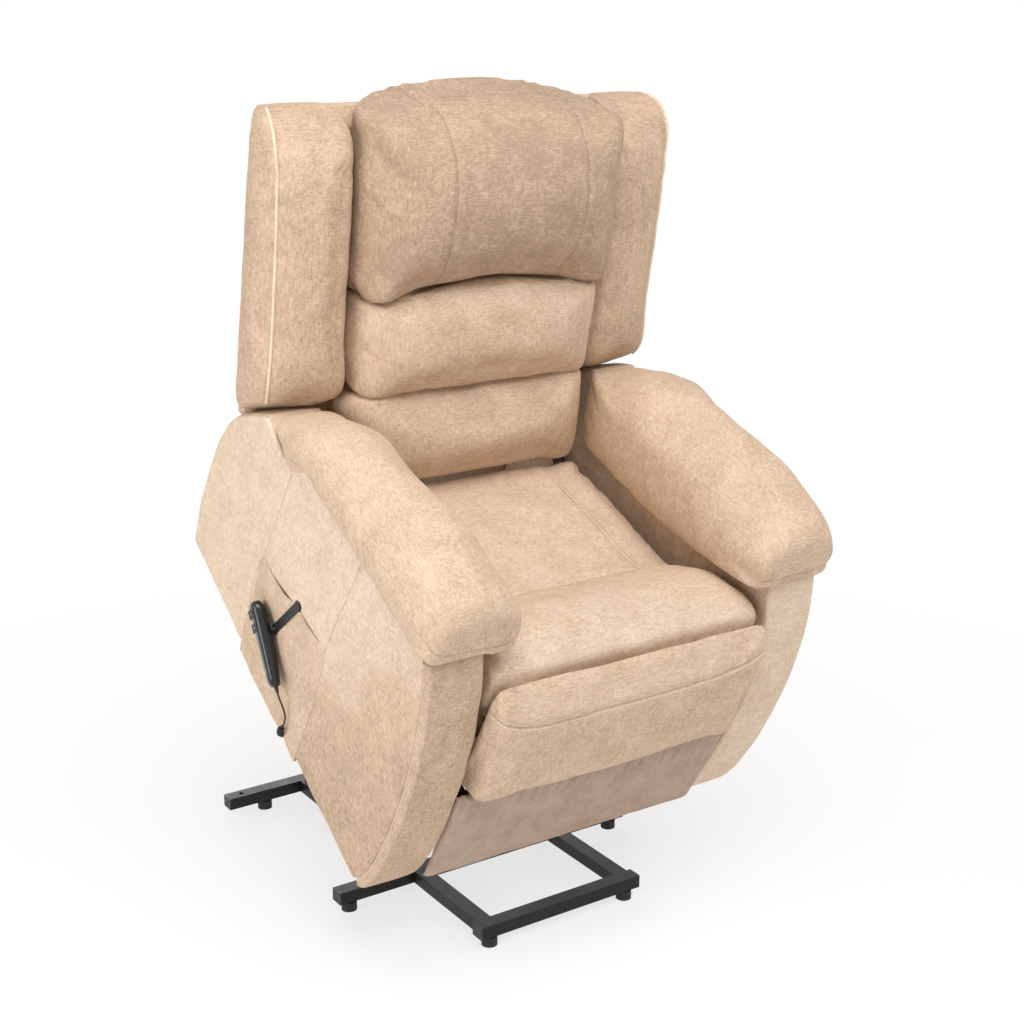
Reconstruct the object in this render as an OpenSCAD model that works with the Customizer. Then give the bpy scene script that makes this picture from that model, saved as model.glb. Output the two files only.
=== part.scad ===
// Power lift recliner with a padded back in three sections, pillow arms and a legrest.
// It is drawn as it stands when raised: the floor frame is level and the chair is tipped forward.
// Origin on the floor, under the middle of the whole chair. The sitter faces -Y, the sitter's left is +X, +Z is up.
// Chair parts are laid out as seated (level) and then tipped by in_chair().

/* [Floor frame] */
// Height of a foot
foot_h = 21; // [15:1:30]
// Diameter of a foot
foot_d = 30; // [24:1:36]
// Width of the floor tubes, seen from above
tube_w = 30; // [25:1:35]
// Height of the floor tubes
tube_h = 25; // [22:1:30]
// Wall of all square tubes
tube_wall = 2; // [1.5:0.5:3]
// Length of the rear cross bar
rear_bar_len = 672; // [640:2:690]
// Length of the middle cross bar
middle_bar_len = 665; // [640:2:690]
// Length of the front cross bar
front_bar_len = 358; // [346:2:380]
// Distance from the middle bar back to the rear bar
rear_bar_y = 480; // [470:1:500]
// Distance from the middle bar forward to the front bar
front_bar_y = 255; // [245:1:265]
// Distance of each long rail from the centre line
rail_x = 158; // [156:1:162]
// Distance of the rear feet from the bar's ends
rear_foot_inset = 84; // [40:1:120]
// Distance of the middle and front feet from the bar's ends
front_foot_inset = 24; // [20:1:40]

/* [Lift linkage] */
// Forward tip of the raised chair, in degrees
lift_angle = 30; // [26:1:32]
// Thickness of the lift links
link_t = 6; // [5:0.5:8]
// Width of the lift links
link_w = 24; // [20:1:28]
// Diameter of the pivot bolts
bolt_d = 10; // [8:1:12]
// Diameter of the tube that joins the two long links
arm_tube_d = 20; // [16:1:22]
// Thickness of the brackets
bracket_t = 5; // [4:0.5:6]

/* [Chair frame] */
// Size of the square tubes under the seat
frame_tube = 25; // [20:1:28]
// Outer distance of the under-seat rails from the centre line
frame_rail_x = 205; // [203:1:215]
// Depth of the chair at its lower edge
body_depth = 787; // [770:1:810]
// Half of the space between the arms
arm_in_x = 302; // [300:1:310]
// Distance from the centre line to the outer side of an arm
arm_out_x = 409; // [400:1:420]
// Thickness of the wooden boards
board_t = 12; // [9:1:15]

/* [Seat] */
// Half width of the seat cushion
seat_half_w = 274; // [265:1:275]
// Height of the seat's front edge above the chair's lower edge
seat_front_z = 516; // [505:1:525]
// Thickness of the seat cushion
seat_thick = 225; // [215:1:230]
// Depth of the seat cushion
seat_depth = 588; // [560:1:590]

/* [Arms] */
// Height of an arm box, under its pillow
arm_box_z = 500; // [490:1:510]
// Height of the arm pillow's top
pad_top_z = 697; // [660:1:720]
// Half width of an arm pillow
pad_half_w = 92; // [80:1:96]
// Thickness of the covered side panels
side_cover_t = 14; // [12:1:18]

/* [Backrest] */
// Backward lean of the back when upright, in degrees
back_lean = 17.7; // [15:0.1:19]
// How far the back reclines further, in degrees
back_recline = 35; // [30:1:37]
// Height of the back above its lower rear edge
back_h = 600; // [570:1:620]
// Half width of the back
back_half_w = 425; // [415:1:430]
// Half width of the centre cushions
centre_half_w = 258; // [250:1:259]
// Depth of a wing at its lower end
wing_depth = 176; // [160:1:180]
// Depth of the centre cushions
centre_depth = 250; // [236:1:262]

/* [Legrest] */
// Length of the swinging legrest links between pivots
rocker_len = 240; // [225:1:245]
// Turn of these links from shut to out, in degrees
rocker_turn = 60; // [50:1:62]
// Thickness of the flat steel links
flat_t = 4; // [3:0.5:4.5]
// Width of the flat steel links
flat_w = 20; // [16:1:24]
// Diameter of the link rivets
rivet_d = 8; // [6:1:9]
// Height of the legrest pad
leg_pad_h = 218; // [205:1:220]
// Thickness of the legrest pad
leg_pad_t = 71; // [60:1:73]

/* [Motors] */
// Diameter of a motor's push tube housing
motor_tube_d = 36; // [30:1:40]
// Diameter of the push rod
rod_d = 20; // [16:1:22]
// Diameter of the electric motor
motor_d = 50; // [44:1:54]

/* [Handset] */
// Length of the handset
handset_l = 160; // [150:1:170]
// Width of the handset
handset_w = 46; // [42:1:50]
// Thickness of the handset
handset_t = 26; // [22:1:28]
// Travel of a button
button_travel = 1; // [0.6:0.1:1.5]
// Diameter of the handset's cord
cord_d = 3.5; // [3:0.5:4]
// Outer diameter of the curls of the cord
curl_d = 12; // [11:0.5:14]

/* [Hidden] */
$fn = 32;

// Running clearance round a pivot, on the radius
fit = 0.1;
// Small gap between parts that only lie close
gap = 0.5;
// Overrun of a cut past a face
over = 1;
// Place of the floor frame's middle bar, so that the origin is under the middle of the whole
middle_y = 15;
// Where the chair's lower front corner is when raised, from the middle bar and from the floor
raised = [-217, 178];
// The same corner when seated
seated = [-285, 30];
floor_top = foot_h + tube_h;
rear_bar_at = middle_y + rear_bar_y;
front_bar_at = middle_y - front_bar_y;

// Pivots in the chair's own level coordinates: back, up
arm_pivot = [150, 45];
front_pivot = [60, 60];
motor_lug = [220, 150];
back_hinge = [590, 300];
drive_pivot = [95, 120];
rear_rocker_pivot = [230, 120];
leg_pivot = [24, 300];
recline_clevis = [570, 128];
// Rocker angle when shut, from the backward direction
rocker_start = 52;
// Distance and angle of a lobe's pin from the lobe's own pivot
rocker_lobe = [33.6, 152.4];
leg_lobe = [26, -132.6];
rear_lobe = [24, 176.5];
tail_lobe = [48.8, -135.9];
// How far in from the rear bar the rear floor pivots are
arm_base_inset = 40;
// How far behind the middle bar the front floor pivots are
front_base_y = 60;
// Height of the lift motor's floor pivot over the floor tubes
motor_base_lift = 24;
// Height of the recline rod's pin over the drive tube, and its lever's angle when shut
drive_pin_rise = 60;
lever_start = 60;
drive_tube_d = 22;
// Clearance of a hole at a pivot where a closed linkage is left loose
loose_fit = 2;
// How far the lift rod's pin slides in its lug, towards which angle, and the slot's extra width
lug_slip = 12;
lug_slip_angle = -122;
lug_slot_play = 4.3;
// Extra width of the slot in the recline lever
lever_slot_play = 3.8;

// Planes across the chair, from the centre line outwards
side_gap = 2;
thin_gap = 1.5;
base_plate_x = rail_x;
lift_link_x = base_plate_x + bracket_t + side_gap;
front_link_x = base_plate_x - side_gap - link_t;
front_plate_x = front_link_x - side_gap - bracket_t;
frame_plate_x = frame_rail_x - frame_tube - bracket_t;
mech_plate_t = 3;
seat_rail_inset = 26;
seat_rail_x = arm_in_x - seat_rail_inset;
carrier_x = seat_rail_x + mech_plate_t + side_gap;
rocker_x = carrier_x + flat_t + thin_gap;
control_x = rocker_x + flat_t + thin_gap;

// Heads, nuts and rivets
head_d = bolt_d * 1.8;
head_h = bolt_d * 0.6;
rivet_head_d = rivet_d * 1.5;
rivet_head_h = 1.2;

// Clevises and rod eyes of both motors, from each motor's own middle plane
eye_half = 12;
eye_d = 26;
lug_x = eye_half + side_gap;
lug_w = 24;
recline_x = 82;
// Motor casing: gearbox length, its half width, the can's length and where the push tube starts
gear_len = 62;
gear_start = 24;
gear_half = 21;
can_len = 96;
can_gap = 4;
lift_tube_len = 285;
recline_tube_len = 225;
rod_inside = 40;
recline_rod_inside = 120;

// Chair frame heights and places, level
rail_z = 80;
rail_y = [25, 660];
cross_z = rail_z + frame_tube;
front_cross_y = 25;
rear_cross_y = 590;
motor_cross_y = 170;
riser_w = 20;
seat_rail_z = 222;
seat_rail_h = 60;
seat_rail_w = 24;
seat_rail_y = [20, 615];
rear_rail_y = 575;
spring_t = 3;
spring_n = 5;
spring_waves = 9;
spring_pitch_x = 88;
spring_half = 22;
seat_bottom = seat_rail_z + seat_rail_h + spring_t + gap;

raised_y = middle_y + raised[0];
raised_z = raised[1];

function turned(p, a) = [p[0] * cos(a) - p[1] * sin(a), p[0] * sin(a) + p[1] * cos(a)];
function polar(p) = [p[0] * cos(p[1]), p[0] * sin(p[1])];
function raised_place(p) = [raised_y, raised_z] + turned(p, lift_angle);
function seated_place(p) = [middle_y + seated[0], seated[1]] + p;
// Height of a floor pivot at y that is as far from a chair pivot when raised as when seated
function base_pivot_z(p, y) =
    let (a = raised_place(p), b = seated_place(p), m = (a + b) / 2, d = a - b)
    m[1] - d[0] * (y - m[0]) / d[1];
function angle_of(v) = atan2(v[1], v[0]);
function unit(v) = v / norm(v);

arm_base_y = rear_bar_at - arm_base_inset;
arm_base = [arm_base_y, base_pivot_z(arm_pivot, arm_base_y)];
front_base = [middle_y + front_base_y, base_pivot_z(front_pivot, middle_y + front_base_y)];
motor_base = [arm_base_y, floor_top + motor_base_lift];

// Legrest pivots when shut
drive_end = drive_pivot + polar([rocker_len, rocker_start]);
rear_end = rear_rocker_pivot + polar([rocker_len, rocker_start]);
rocker_pin = drive_end + polar(rocker_lobe);
leg_pin = leg_pivot + polar(leg_lobe);
rear_pin = rear_rocker_pivot + polar(rear_lobe);
tail_pin = back_hinge + polar(tail_lobe);
lever_shut = drive_pin_rise / sin(lever_start);
drive_pin = drive_pivot + polar([lever_shut, lever_start]);

// Draws a level outline, back then up, as a plate from x to x + t
module plate(x, t) { translate([x, 0, 0]) rotate([90, 0, 90]) linear_extrude(t) children(); }
module both() { children(); mirror([1, 0, 0]) children(); }
module sided(left) { if (left) children(); else mirror([1, 0, 0]) children(); }
module in_chair() { translate([0, raised_y, raised_z]) rotate([lift_angle, 0, 0]) children(); }
module dot(p, d) { translate(p) circle(d = d); }
// Bar between two round eyes, which stand a little proud of it
eye_share = 0.94;
module bar(p, q, w) {
    dot(p, w);
    dot(q, w);
    translate(p) rotate(angle_of(q - p)) translate([0, -w * eye_share / 2]) square([norm(q - p), w * eye_share]);
}
module link(p, q, w, dp, dq) {
    difference() {
        bar(p, q, w);
        dot(p, dp);
        dot(q, dq);
    }
}
module rod_x(p, x, l, d) { translate([x, p[0], p[1]]) rotate([0, 90, 0]) cylinder(d = d, h = l); }
module block(x, y, z, size) { translate([x, y, z]) cube(size); }
module hex_x(p, x) { translate([x, p[0], p[1]]) rotate([0, 90, 0]) cylinder(d = head_d, h = head_h, $fn = 6); }
// Bolt whose head's face is at x and whose nut's face is at x + l
module bolt(p, x, l) {
    rod_x(p, x, l + head_h, bolt_d);
    hex_x(p, x - head_h);
    hex_x(p, x + l);
}
module rivet(p, x, l) {
    rod_x(p, x, l, rivet_d);
    rod_x(p, x - rivet_head_h, rivet_head_h, rivet_head_d);
    rod_x(p, x + l, rivet_head_h, rivet_head_d);
}
// Square tube along X from -half to half
module tube_x(half, y, z, d, h) {
    difference() {
        block(-half, y, z, [2 * half, d, h]);
        block(-half - over, y + tube_wall, z + tube_wall,
            [2 * half + 2 * over, d - 2 * tube_wall, h - 2 * tube_wall]);
    }
}
module tube_y(x, y0, y1, z, w, h) {
    difference() {
        block(x, y0, z, [w, y1 - y0, h]);
        block(x + tube_wall, y0 - over, z + tube_wall,
            [w - 2 * tube_wall, y1 - y0 + 2 * over, h - 2 * tube_wall]);
    }
}
bore = bolt_d + 2 * fit;
rivet_bore = rivet_d + 2 * fit;

// Floor frame
module floor_bar(y, len) { tube_x(len / 2, y - tube_w / 2, foot_h, tube_w, tube_h); }
module base_rear_bar() color("#1b1b1b") difference() {
    floor_bar(rear_bar_at, rear_bar_len);
    // Fixing holes near the ends
    both() translate([rear_bar_len / 2 - tube_w, rear_bar_at, floor_top - tube_wall - over])
        cylinder(d = bolt_d, h = tube_wall + 2 * over);
}
module base_middle_bar() color("#1b1b1b") floor_bar(middle_y, middle_bar_len);
module base_front_bar() color("#1b1b1b") floor_bar(front_bar_at, front_bar_len);
module base_rails() color("#1b1b1b") both()
    for (ends = [[front_bar_at, middle_y], [middle_y, rear_bar_at]])
        tube_y(rail_x - tube_w / 2, ends[0] + tube_w / 2, ends[1] - tube_w / 2, foot_h, tube_w, tube_h);
cap_t = 3;
cap_plug = 12;
module tube_end_caps() color("#141414") both()
    for (end = [[rear_bar_at, rear_bar_len], [middle_y, middle_bar_len], [front_bar_at, front_bar_len]]) {
        block(end[1] / 2, end[0] - tube_w / 2, foot_h, [cap_t, tube_w, tube_h]);
        block(end[1] / 2 - cap_plug, end[0] - tube_w / 2 + tube_wall + fit, foot_h + tube_wall + fit,
            [cap_plug, tube_w - 2 * tube_wall - 2 * fit, tube_h - 2 * tube_wall - 2 * fit]);
    }
module foot() {
    cylinder(d = foot_d, h = foot_h - cap_t);
    cylinder(d = foot_d * 0.75, h = foot_h);
}
module feet() color("#141414") both() {
    translate([rear_bar_len / 2 - rear_foot_inset, rear_bar_at, 0]) foot();
    translate([middle_bar_len / 2 - front_foot_inset, middle_y, 0]) foot();
    translate([front_bar_len / 2 - front_foot_inset, front_bar_at, 0]) foot();
}
// Plate that stands on a floor rail and carries pivot p
module stand(p, d) {
    difference() {
        union() {
            dot(p, link_w + bracket_t);
            polygon([[p[0] - link_w, floor_top], [p[0] + link_w, floor_top],
                [p[0] + (link_w + bracket_t) / 2, p[1]], [p[0] - (link_w + bracket_t) / 2, p[1]]]);
        }
        dot(p, d);
    }
}
module base_link_brackets() color("#1b1b1b") both() for (p = [arm_base, front_base]) {
    plate(base_plate_x, bracket_t) stand(p, bore);
    block(rail_x - tube_w / 2, p[0] - link_w, floor_top, [tube_w / 2, 2 * link_w, bracket_t]);
}
module lift_motor_clevis() color("#1b1b1b") {
    both() {
        plate(lug_x, bracket_t) difference() {
            union() {
                dot(motor_base, lug_w);
                polygon([[rear_bar_at - tube_w / 2, floor_top], [rear_bar_at + tube_w / 2, floor_top],
                    motor_base + [0, lug_w / 2], motor_base - [0, lug_w / 2]]);
            }
            dot(motor_base, bore);
        }
        block(lug_x + bracket_t, rear_bar_at - tube_w / 2, floor_top, [tube_w / 2, tube_w, bracket_t]);
    }
    rod_x(motor_base, -lug_x - bracket_t - cap_t, 2 * (lug_x + bracket_t + cap_t), bolt_d);
    both() rod_x(motor_base, lug_x + bracket_t, cap_t, head_d);
}
module base_pivot_bolts() color("#9a9a9a") both() {
    bolt(arm_base, base_plate_x, lift_link_x + link_t + gap - base_plate_x);
    // The front bolt screws into its bracket and ends flush
    rod_x(front_base, front_link_x - gap, base_plate_x + bracket_t - front_link_x + gap, bolt_d);
    hex_x(front_base, front_link_x - gap - head_h);
}

// Lift linkage
arm_top = raised_place(arm_pivot);
front_top = raised_place(front_pivot);
arm_drop = link_w / 2 - fit;
arm_tube_at = (arm_base + arm_top) / 2 - arm_drop * turned(unit(arm_base - arm_top), 90);
module lift_arm(left) color("#1b1b1b") sided(left) plate(lift_link_x, link_t)
    link(arm_base, arm_top, link_w, bore, bore);
module lift_arm_tube() color("#1b1b1b") rod_x(arm_tube_at, -lift_link_x, 2 * lift_link_x, arm_tube_d);
module front_links() color("#1b1b1b") both() plate(front_link_x, link_t)
    link(front_base, front_top, link_w, bore, bolt_d + 2 * loose_fit);

// Chair frame
module frame_rails() color("#1b1b1b") in_chair() both()
    tube_y(frame_rail_x - frame_tube, rail_y[0], rail_y[1], rail_z, frame_tube, frame_tube);
slip = polar([lug_slip, lug_slip_angle]);
lug_slot_w = bolt_d + lug_slot_play;
module frame_cross_tubes() color("#1b1b1b") in_chair() {
    for (y = [front_cross_y, rear_cross_y]) tube_x(arm_in_x, y, cross_z, frame_tube, frame_tube);
    tube_x(frame_rail_x, motor_cross_y, cross_z, frame_tube, frame_tube);
    // Risers under the seat frame
    both() for (y = [front_cross_y, rear_cross_y])
        block(seat_rail_x - riser_w - side_gap, y + side_gap, cross_z + frame_tube,
            [riser_w, riser_w, seat_rail_z - cross_z - frame_tube]);
    // Lugs for the lift motor's rod, with slots
    back = motor_cross_y + frame_tube;
    both() plate(lug_x, bracket_t) difference() {
        union() {
            dot(motor_lug, lug_w + bracket_t);
            polygon([[motor_cross_y, cross_z + frame_tube], [back, cross_z + frame_tube],
                [back, cross_z], motor_lug - [0, (lug_w + bracket_t) / 2],
                motor_lug + [0, (lug_w + bracket_t) / 2]]);
        }
        bar(motor_lug, motor_lug + slip, lug_slot_w);
    }
    // Clevis for the recline motor
    translate([-recline_x, 0, 0]) both() plate(lug_x, bracket_t) difference() {
        union() {
            dot(recline_clevis, lug_w);
            polygon([[rear_cross_y, cross_z], [rear_cross_y, cross_z + frame_tube],
                recline_clevis + [0, lug_w / 2], recline_clevis - [0, lug_w / 2]]);
        }
        dot(recline_clevis, bore);
    }
}
module hang(p, y0, y1, d) {
    difference() {
        union() {
            dot(p, d);
            polygon([[y0, cross_z], [y1, cross_z], p + [d / 2, 0], p - [d / 2, 0]]);
        }
        dot(p, bore);
    }
}
hang_d = link_w + 2 * over;
module frame_link_brackets() color("#1b1b1b") in_chair() both() {
    plate(frame_plate_x, bracket_t) hang(arm_pivot, arm_pivot[0] - hang_d, arm_pivot[0] + hang_d, hang_d);
    plate(front_plate_x, bracket_t) hang(front_pivot, front_cross_y, front_cross_y + frame_tube, hang_d);
}
module frame_pivot_bolts() color("#9a9a9a") in_chair() {
    both() {
        bolt(arm_pivot, lift_link_x - gap, frame_plate_x + bracket_t - lift_link_x + gap);
        bolt(front_pivot, front_plate_x, front_link_x + link_t + gap - front_plate_x);
    }
    translate([-recline_x, 0, 0]) {
        rod_x(recline_clevis, -lug_x - bracket_t - cap_t, 2 * (lug_x + bracket_t + cap_t), bolt_d);
        both() rod_x(recline_clevis, lug_x + bracket_t, cap_t, head_d);
    }
}

// Motor along +X of its own frame, from its rear eye; its can points along +Z
module motor_body(tube_len) {
    difference() {
        union() {
            translate([0, 0, -eye_half]) cylinder(d = eye_d, h = 2 * eye_half);
            block(0, -eye_d / 2 + side_gap, -eye_half, [gear_start + over, eye_d - 2 * side_gap, 2 * eye_half]);
        }
        translate([0, 0, -eye_half - over]) cylinder(d = bore, h = 2 * (eye_half + over));
    }
    block(gear_start + over, -gear_half, -eye_half - side_gap,
        [gear_len, 2 * gear_half, 2 * eye_half + can_gap]);
    translate([gear_start + over + gear_len, 0, 0]) rotate([0, 90, 0]) difference() {
        cylinder(d = motor_tube_d, h = tube_len);
        translate([0, 0, rod_inside]) cylinder(d = rod_d + 2 * fit, h = tube_len);
    }
    translate([gear_start + over + gear_len / 2, 0, eye_half + can_gap - side_gap]) {
        cylinder(d = motor_d, h = can_len);
        translate([0, 0, can_len]) cylinder(d = motor_d * 0.8, h = cap_t);
    }
}
// Rod whose eye is at its own origin, towards -X
module motor_rod(len) {
    difference() {
        translate([0, 0, -eye_half]) cylinder(d = eye_d - 2 * side_gap, h = 2 * eye_half);
        translate([0, 0, -eye_half - over]) cylinder(d = bolt_d, h = 2 * (eye_half + over));
    }
    difference() {
        translate([-len, 0, 0]) rotate([0, 90, 0]) cylinder(d = rod_d, h = len);
        translate([0, 0, -eye_half - over]) cylinder(d = rod_d, h = 2 * (eye_half + over));
    }
    translate([0, 0, -lug_x - bracket_t - cap_t]) cylinder(d = bolt_d, h = 2 * (lug_x + bracket_t + cap_t));
    for (z = [-lug_x - bracket_t - cap_t, lug_x + bracket_t + gap]) translate([0, 0, z])
        cylinder(d = head_d, h = cap_t - gap);
}
// Places a motor's own frame at p, pointing to q, its can towards +X
module aimed(x, p, q) { translate([x, p[0], p[1]]) rotate([90, 0, 90]) rotate(angle_of(q - p)) children(); }
lug_world = raised_place(motor_lug);
module lift_motor() color("#202020") aimed(0, motor_base, lug_world) motor_body(lift_tube_len);
module lift_motor_rod() color("#b4b4b4") aimed(0, motor_base, lug_world)
    translate([norm(lug_world - motor_base), 0, 0])
    motor_rod(norm(lug_world - motor_base) - gear_start - over - gear_len - lift_tube_len + rod_inside);
module recline_motor() color("#202020") in_chair() mirror([1, 0, 0])
    aimed(recline_x, recline_clevis, drive_pin) motor_body(recline_tube_len);
module recline_motor_rod() color("#b4b4b4") in_chair() mirror([1, 0, 0])
    aimed(recline_x, recline_clevis, drive_pin) translate([norm(drive_pin - recline_clevis), 0, 0])
    motor_rod(norm(drive_pin - recline_clevis) - gear_start - over - gear_len - recline_tube_len + recline_rod_inside);

// Seat frame and mechanism
plate_low = 100;
plate_step = 225;
plate_front_y = 40;
plate_margin = 22;
plate_rear_y = back_hinge[0] + plate_margin;
plate_edge = 20;
module mechanism_plates() color("#2a2a2a") in_chair() both() {
    plate(seat_rail_x, mech_plate_t) difference() {
        polygon([[drive_pivot[0] - plate_edge, plate_low], [rear_rocker_pivot[0] + plate_edge, plate_low],
            [rear_rocker_pivot[0] + 2 * plate_edge, plate_step], [rear_cross_y - plate_edge, plate_step],
            [plate_rear_y, seat_rail_z + seat_rail_h], [plate_rear_y, back_hinge[1] + plate_edge],
            [back_hinge[0] - plate_edge, back_hinge[1] + plate_edge],
            [back_hinge[0] - 2 * plate_edge, seat_rail_z + seat_rail_h],
            [plate_front_y, seat_rail_z + seat_rail_h], [drive_pivot[0] - 2 * plate_edge, plate_step]]);
        dot(drive_pivot, drive_tube_d + 2 * fit);
        dot(rear_rocker_pivot, rivet_bore);
        dot(back_hinge, bore);
    }
    bolt(back_hinge, seat_rail_x, carrier_x + bracket_t + gap - seat_rail_x);
    rivet(rear_rocker_pivot, seat_rail_x, rocker_x + flat_t + fit - seat_rail_x);
}
module seat_frame() color("#b08d5e") in_chair() {
    both() block(seat_rail_x - seat_rail_w, seat_rail_y[0], seat_rail_z,
        [seat_rail_w, seat_rail_y[1] - seat_rail_y[0], seat_rail_h]);
    for (y = [seat_rail_y[0], rear_rail_y])
        block(seat_rail_w - seat_rail_x, y, seat_rail_z,
            [2 * (seat_rail_x - seat_rail_w), seat_rail_w, seat_rail_h]);
}
// Flat zigzag springs from the front rail to the rear rail
module seat_springs() color("#8c8c8c") in_chair() {
    steps = 2 * spring_waves;
    y0 = seat_rail_y[0] + seat_rail_w / 2;
    dy = (rear_rail_y + seat_rail_w / 2 - y0) / steps;
    zig = [for (i = [0:steps]) [(i % 2 == 0 ? 1 : -1) * spring_half, y0 + i * dy]];
    for (k = [0:spring_n - 1])
        translate([(k - (spring_n - 1) / 2) * spring_pitch_x, 0, seat_rail_z + seat_rail_h])
        linear_extrude(spring_t) polygon(concat(
            [for (p = zig) p - [spring_t, 0]], [for (i = [0:steps]) zig[steps - i] + [spring_t, 0]]));
}

// Soft forms: a form is a list of rings joined by triangles, each anticlockwise seen from the last
function mean(v) = [for (k = [0:2]) sum([for (p = v) p[k]]) / len(v)];
function sum(v, i = 0) = i < len(v) ? v[i] + sum(v, i + 1) : 0;
module skin(rings) {
    n = len(rings[0]);
    m = len(rings);
    points = concat([for (r = rings) each r], [mean(rings[0]), mean(rings[m - 1])]);
    faces = concat(
        [for (i = [0:m - 2], j = [0:n - 1]) let (a = i * n + j, b = i * n + (j + 1) % n) [a, a + n, b]],
        [for (i = [0:m - 2], j = [0:n - 1]) let (a = i * n + j, b = i * n + (j + 1) % n) [b, a + n, b + n]],
        [for (j = [0:n - 1]) [j, (j + 1) % n, m * n]],
        [for (j = [0:n - 1]) [(m - 1) * n + (j + 1) % n, (m - 1) * n + j, m * n + 1]]);
    polyhedron(points, faces);
}
function signed_root(v, e) = sign(v) * pow(abs(v), 2 / e);
// Rounded rectangle from low to high; a higher exponent e makes squarer corners
function round_box(low, high, e, n) = [for (i = [0:n - 1]) let (a = 360 * (i + 0.5) / n)
    (low + high) / 2 + [signed_root(cos(a), e) * (high[0] - low[0]),
        signed_root(sin(a), e) * (high[1] - low[1])] / 2];
// Cubic curve with k + 1 points
function curve(p, k) = [for (i = [0:k]) let (t = i / k, u = 1 - t)
    u * u * u * p[0] + 3 * u * u * t * p[1] + 3 * u * t * t * p[2] + t * t * t * p[3]];
function scaled(shares, size) = [for (s = shares) [s[0] * size[0], s[1] * size[1]]];
// A valley of unit depth at c, w wide
function valley(v, c, w) = exp(-pow((v - c) / w, 2));
// How far a stuffed edge has filled out, t from its end and 1 at full thickness
function filled(t) = sqrt(1 - pow(1 - min(1, max(0, t)), 2));

// Arm profile as shares of the depth and of the arm box height
arm_front_shares = [[0, 0], [-0.071, 0.04], [-0.089, 0.78], [0.037, 1.12]];
arm_top_shares = [[0.08, 1.103], [0.14, 1.1], [0.32, 1.096], [0.6, 1.096], [0.675, 1.008], [0.69, 1.008],
    [0.713, 1.03]];
arm_rear_shares = [[0.816, 1.072], [0.966, 0.9], [1.036, 0.8], [1, 0.172]];
arm_size = [body_depth, arm_box_z];
curve_steps = 12;
front_t = board_t + 1;
arm_front_line = curve(scaled(arm_front_shares, arm_size), curve_steps);
arm_top_line = scaled(arm_top_shares, arm_size);
arm_rear_line = curve(scaled(arm_rear_shares, arm_size), curve_steps);
function shifted(line, d) = [for (p = line) p + d];
function backwards(line) = [for (i = [len(line) - 1:-1:0]) line[i]];
// Band between a line and its copy shifted by d
module band(line, d) { polygon(concat(line, backwards(shifted(line, d)))); }
module arm_profile() { polygon(concat(shifted(arm_front_line, [front_t, 0]), arm_top_line, arm_rear_line)); }
bottom_line = [[front_t, 0], arm_rear_line[curve_steps]];
cover_x = arm_out_x - side_cover_t;
// Thickness of the thin board on the outer side of an arm box
arm_side_t = 3;
module arm_box(left) color("#b08d5e") in_chair() sided(left) {
    plate(arm_in_x, board_t) arm_profile();
    plate(arm_in_x + board_t, cover_x - arm_in_x - board_t) {
        band(arm_top_line, [0, -board_t]);
        band(backwards(bottom_line), [0, board_t]);
        band(arm_rear_line, [-board_t, 0]);
    }
    plate(cover_x - arm_side_t, arm_side_t) arm_profile();
}
// Side pocket: seams front and rear, mouth height, lowest point, flap thickness and room for the hook's lip
pocket_y = [272, 526];
pocket_mouth_z = 306;
pocket_low_z = 90;
pocket_flap_t = 4.5;
pocket_room = 5.5;
pocket_seam = 8;
mouth_h = 12;
module pocket_block(x, t, h) {
    block(x, pocket_y[0] + pocket_seam, pocket_low_z,
        [t, pocket_y[1] - pocket_y[0] - 2 * pocket_seam, pocket_mouth_z - pocket_low_z + h]);
}
module side_cover(left) color("#cdb091") in_chair() sided(left) difference() {
    plate(cover_x, side_cover_t) arm_profile();
    if (!left) pocket_block(cover_x - over, side_cover_t + 2 * over, mouth_h);
}
module side_pocket() color("#cdb091") in_chair() sided(false)
    pocket_block(arm_out_x - pocket_flap_t, pocket_flap_t, 0);
module arm_front(left) color("#cdb091") in_chair() sided(left)
    plate(arm_in_x, arm_out_x - arm_in_x) band(arm_front_line, [front_t, 0]);

// Arm pillow: place along the chair, underside, lowest inner edge and top as shares of the depth and
// of the pillow's height, then inner and outer reach as shares of its half width
pad_shares = [
    [0.02, 0.835, 0.835, 0.9, -0.6, 0.62], [0.026, 0.815, 0.812, 0.935, -0.88, 0.86],
    [0.052, 0.8075, 0.79, 0.968, -1, 0.95], [0.1, 0.7975, 0.765, 0.986, -1.01, 0.98],
    [0.17, 0.792, 0.733, 0.996, -1, 1], [0.265, 0.791, 0.694, 1, -0.98, 1.01],
    [0.38, 0.7905, 0.66, 0.976, -0.93, 1.01], [0.5, 0.7905, 0.634, 0.951, -0.86, 1.01],
    [0.6, 0.7905, 0.61, 0.932, -0.8, 1], [0.675, 0.727, 0.594, 0.893, -0.77, 0.98],
    [0.725, 0.748, 0.592, 0.851, -0.75, 0.93], [0.77, 0.764, 0.66, 0.814, -0.68, 0.85],
    [0.803, 0.772, 0.768, 0.784, -0.5, 0.62]];
pad_lap = 34;
pad_x = arm_in_x + pad_lap;
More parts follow.
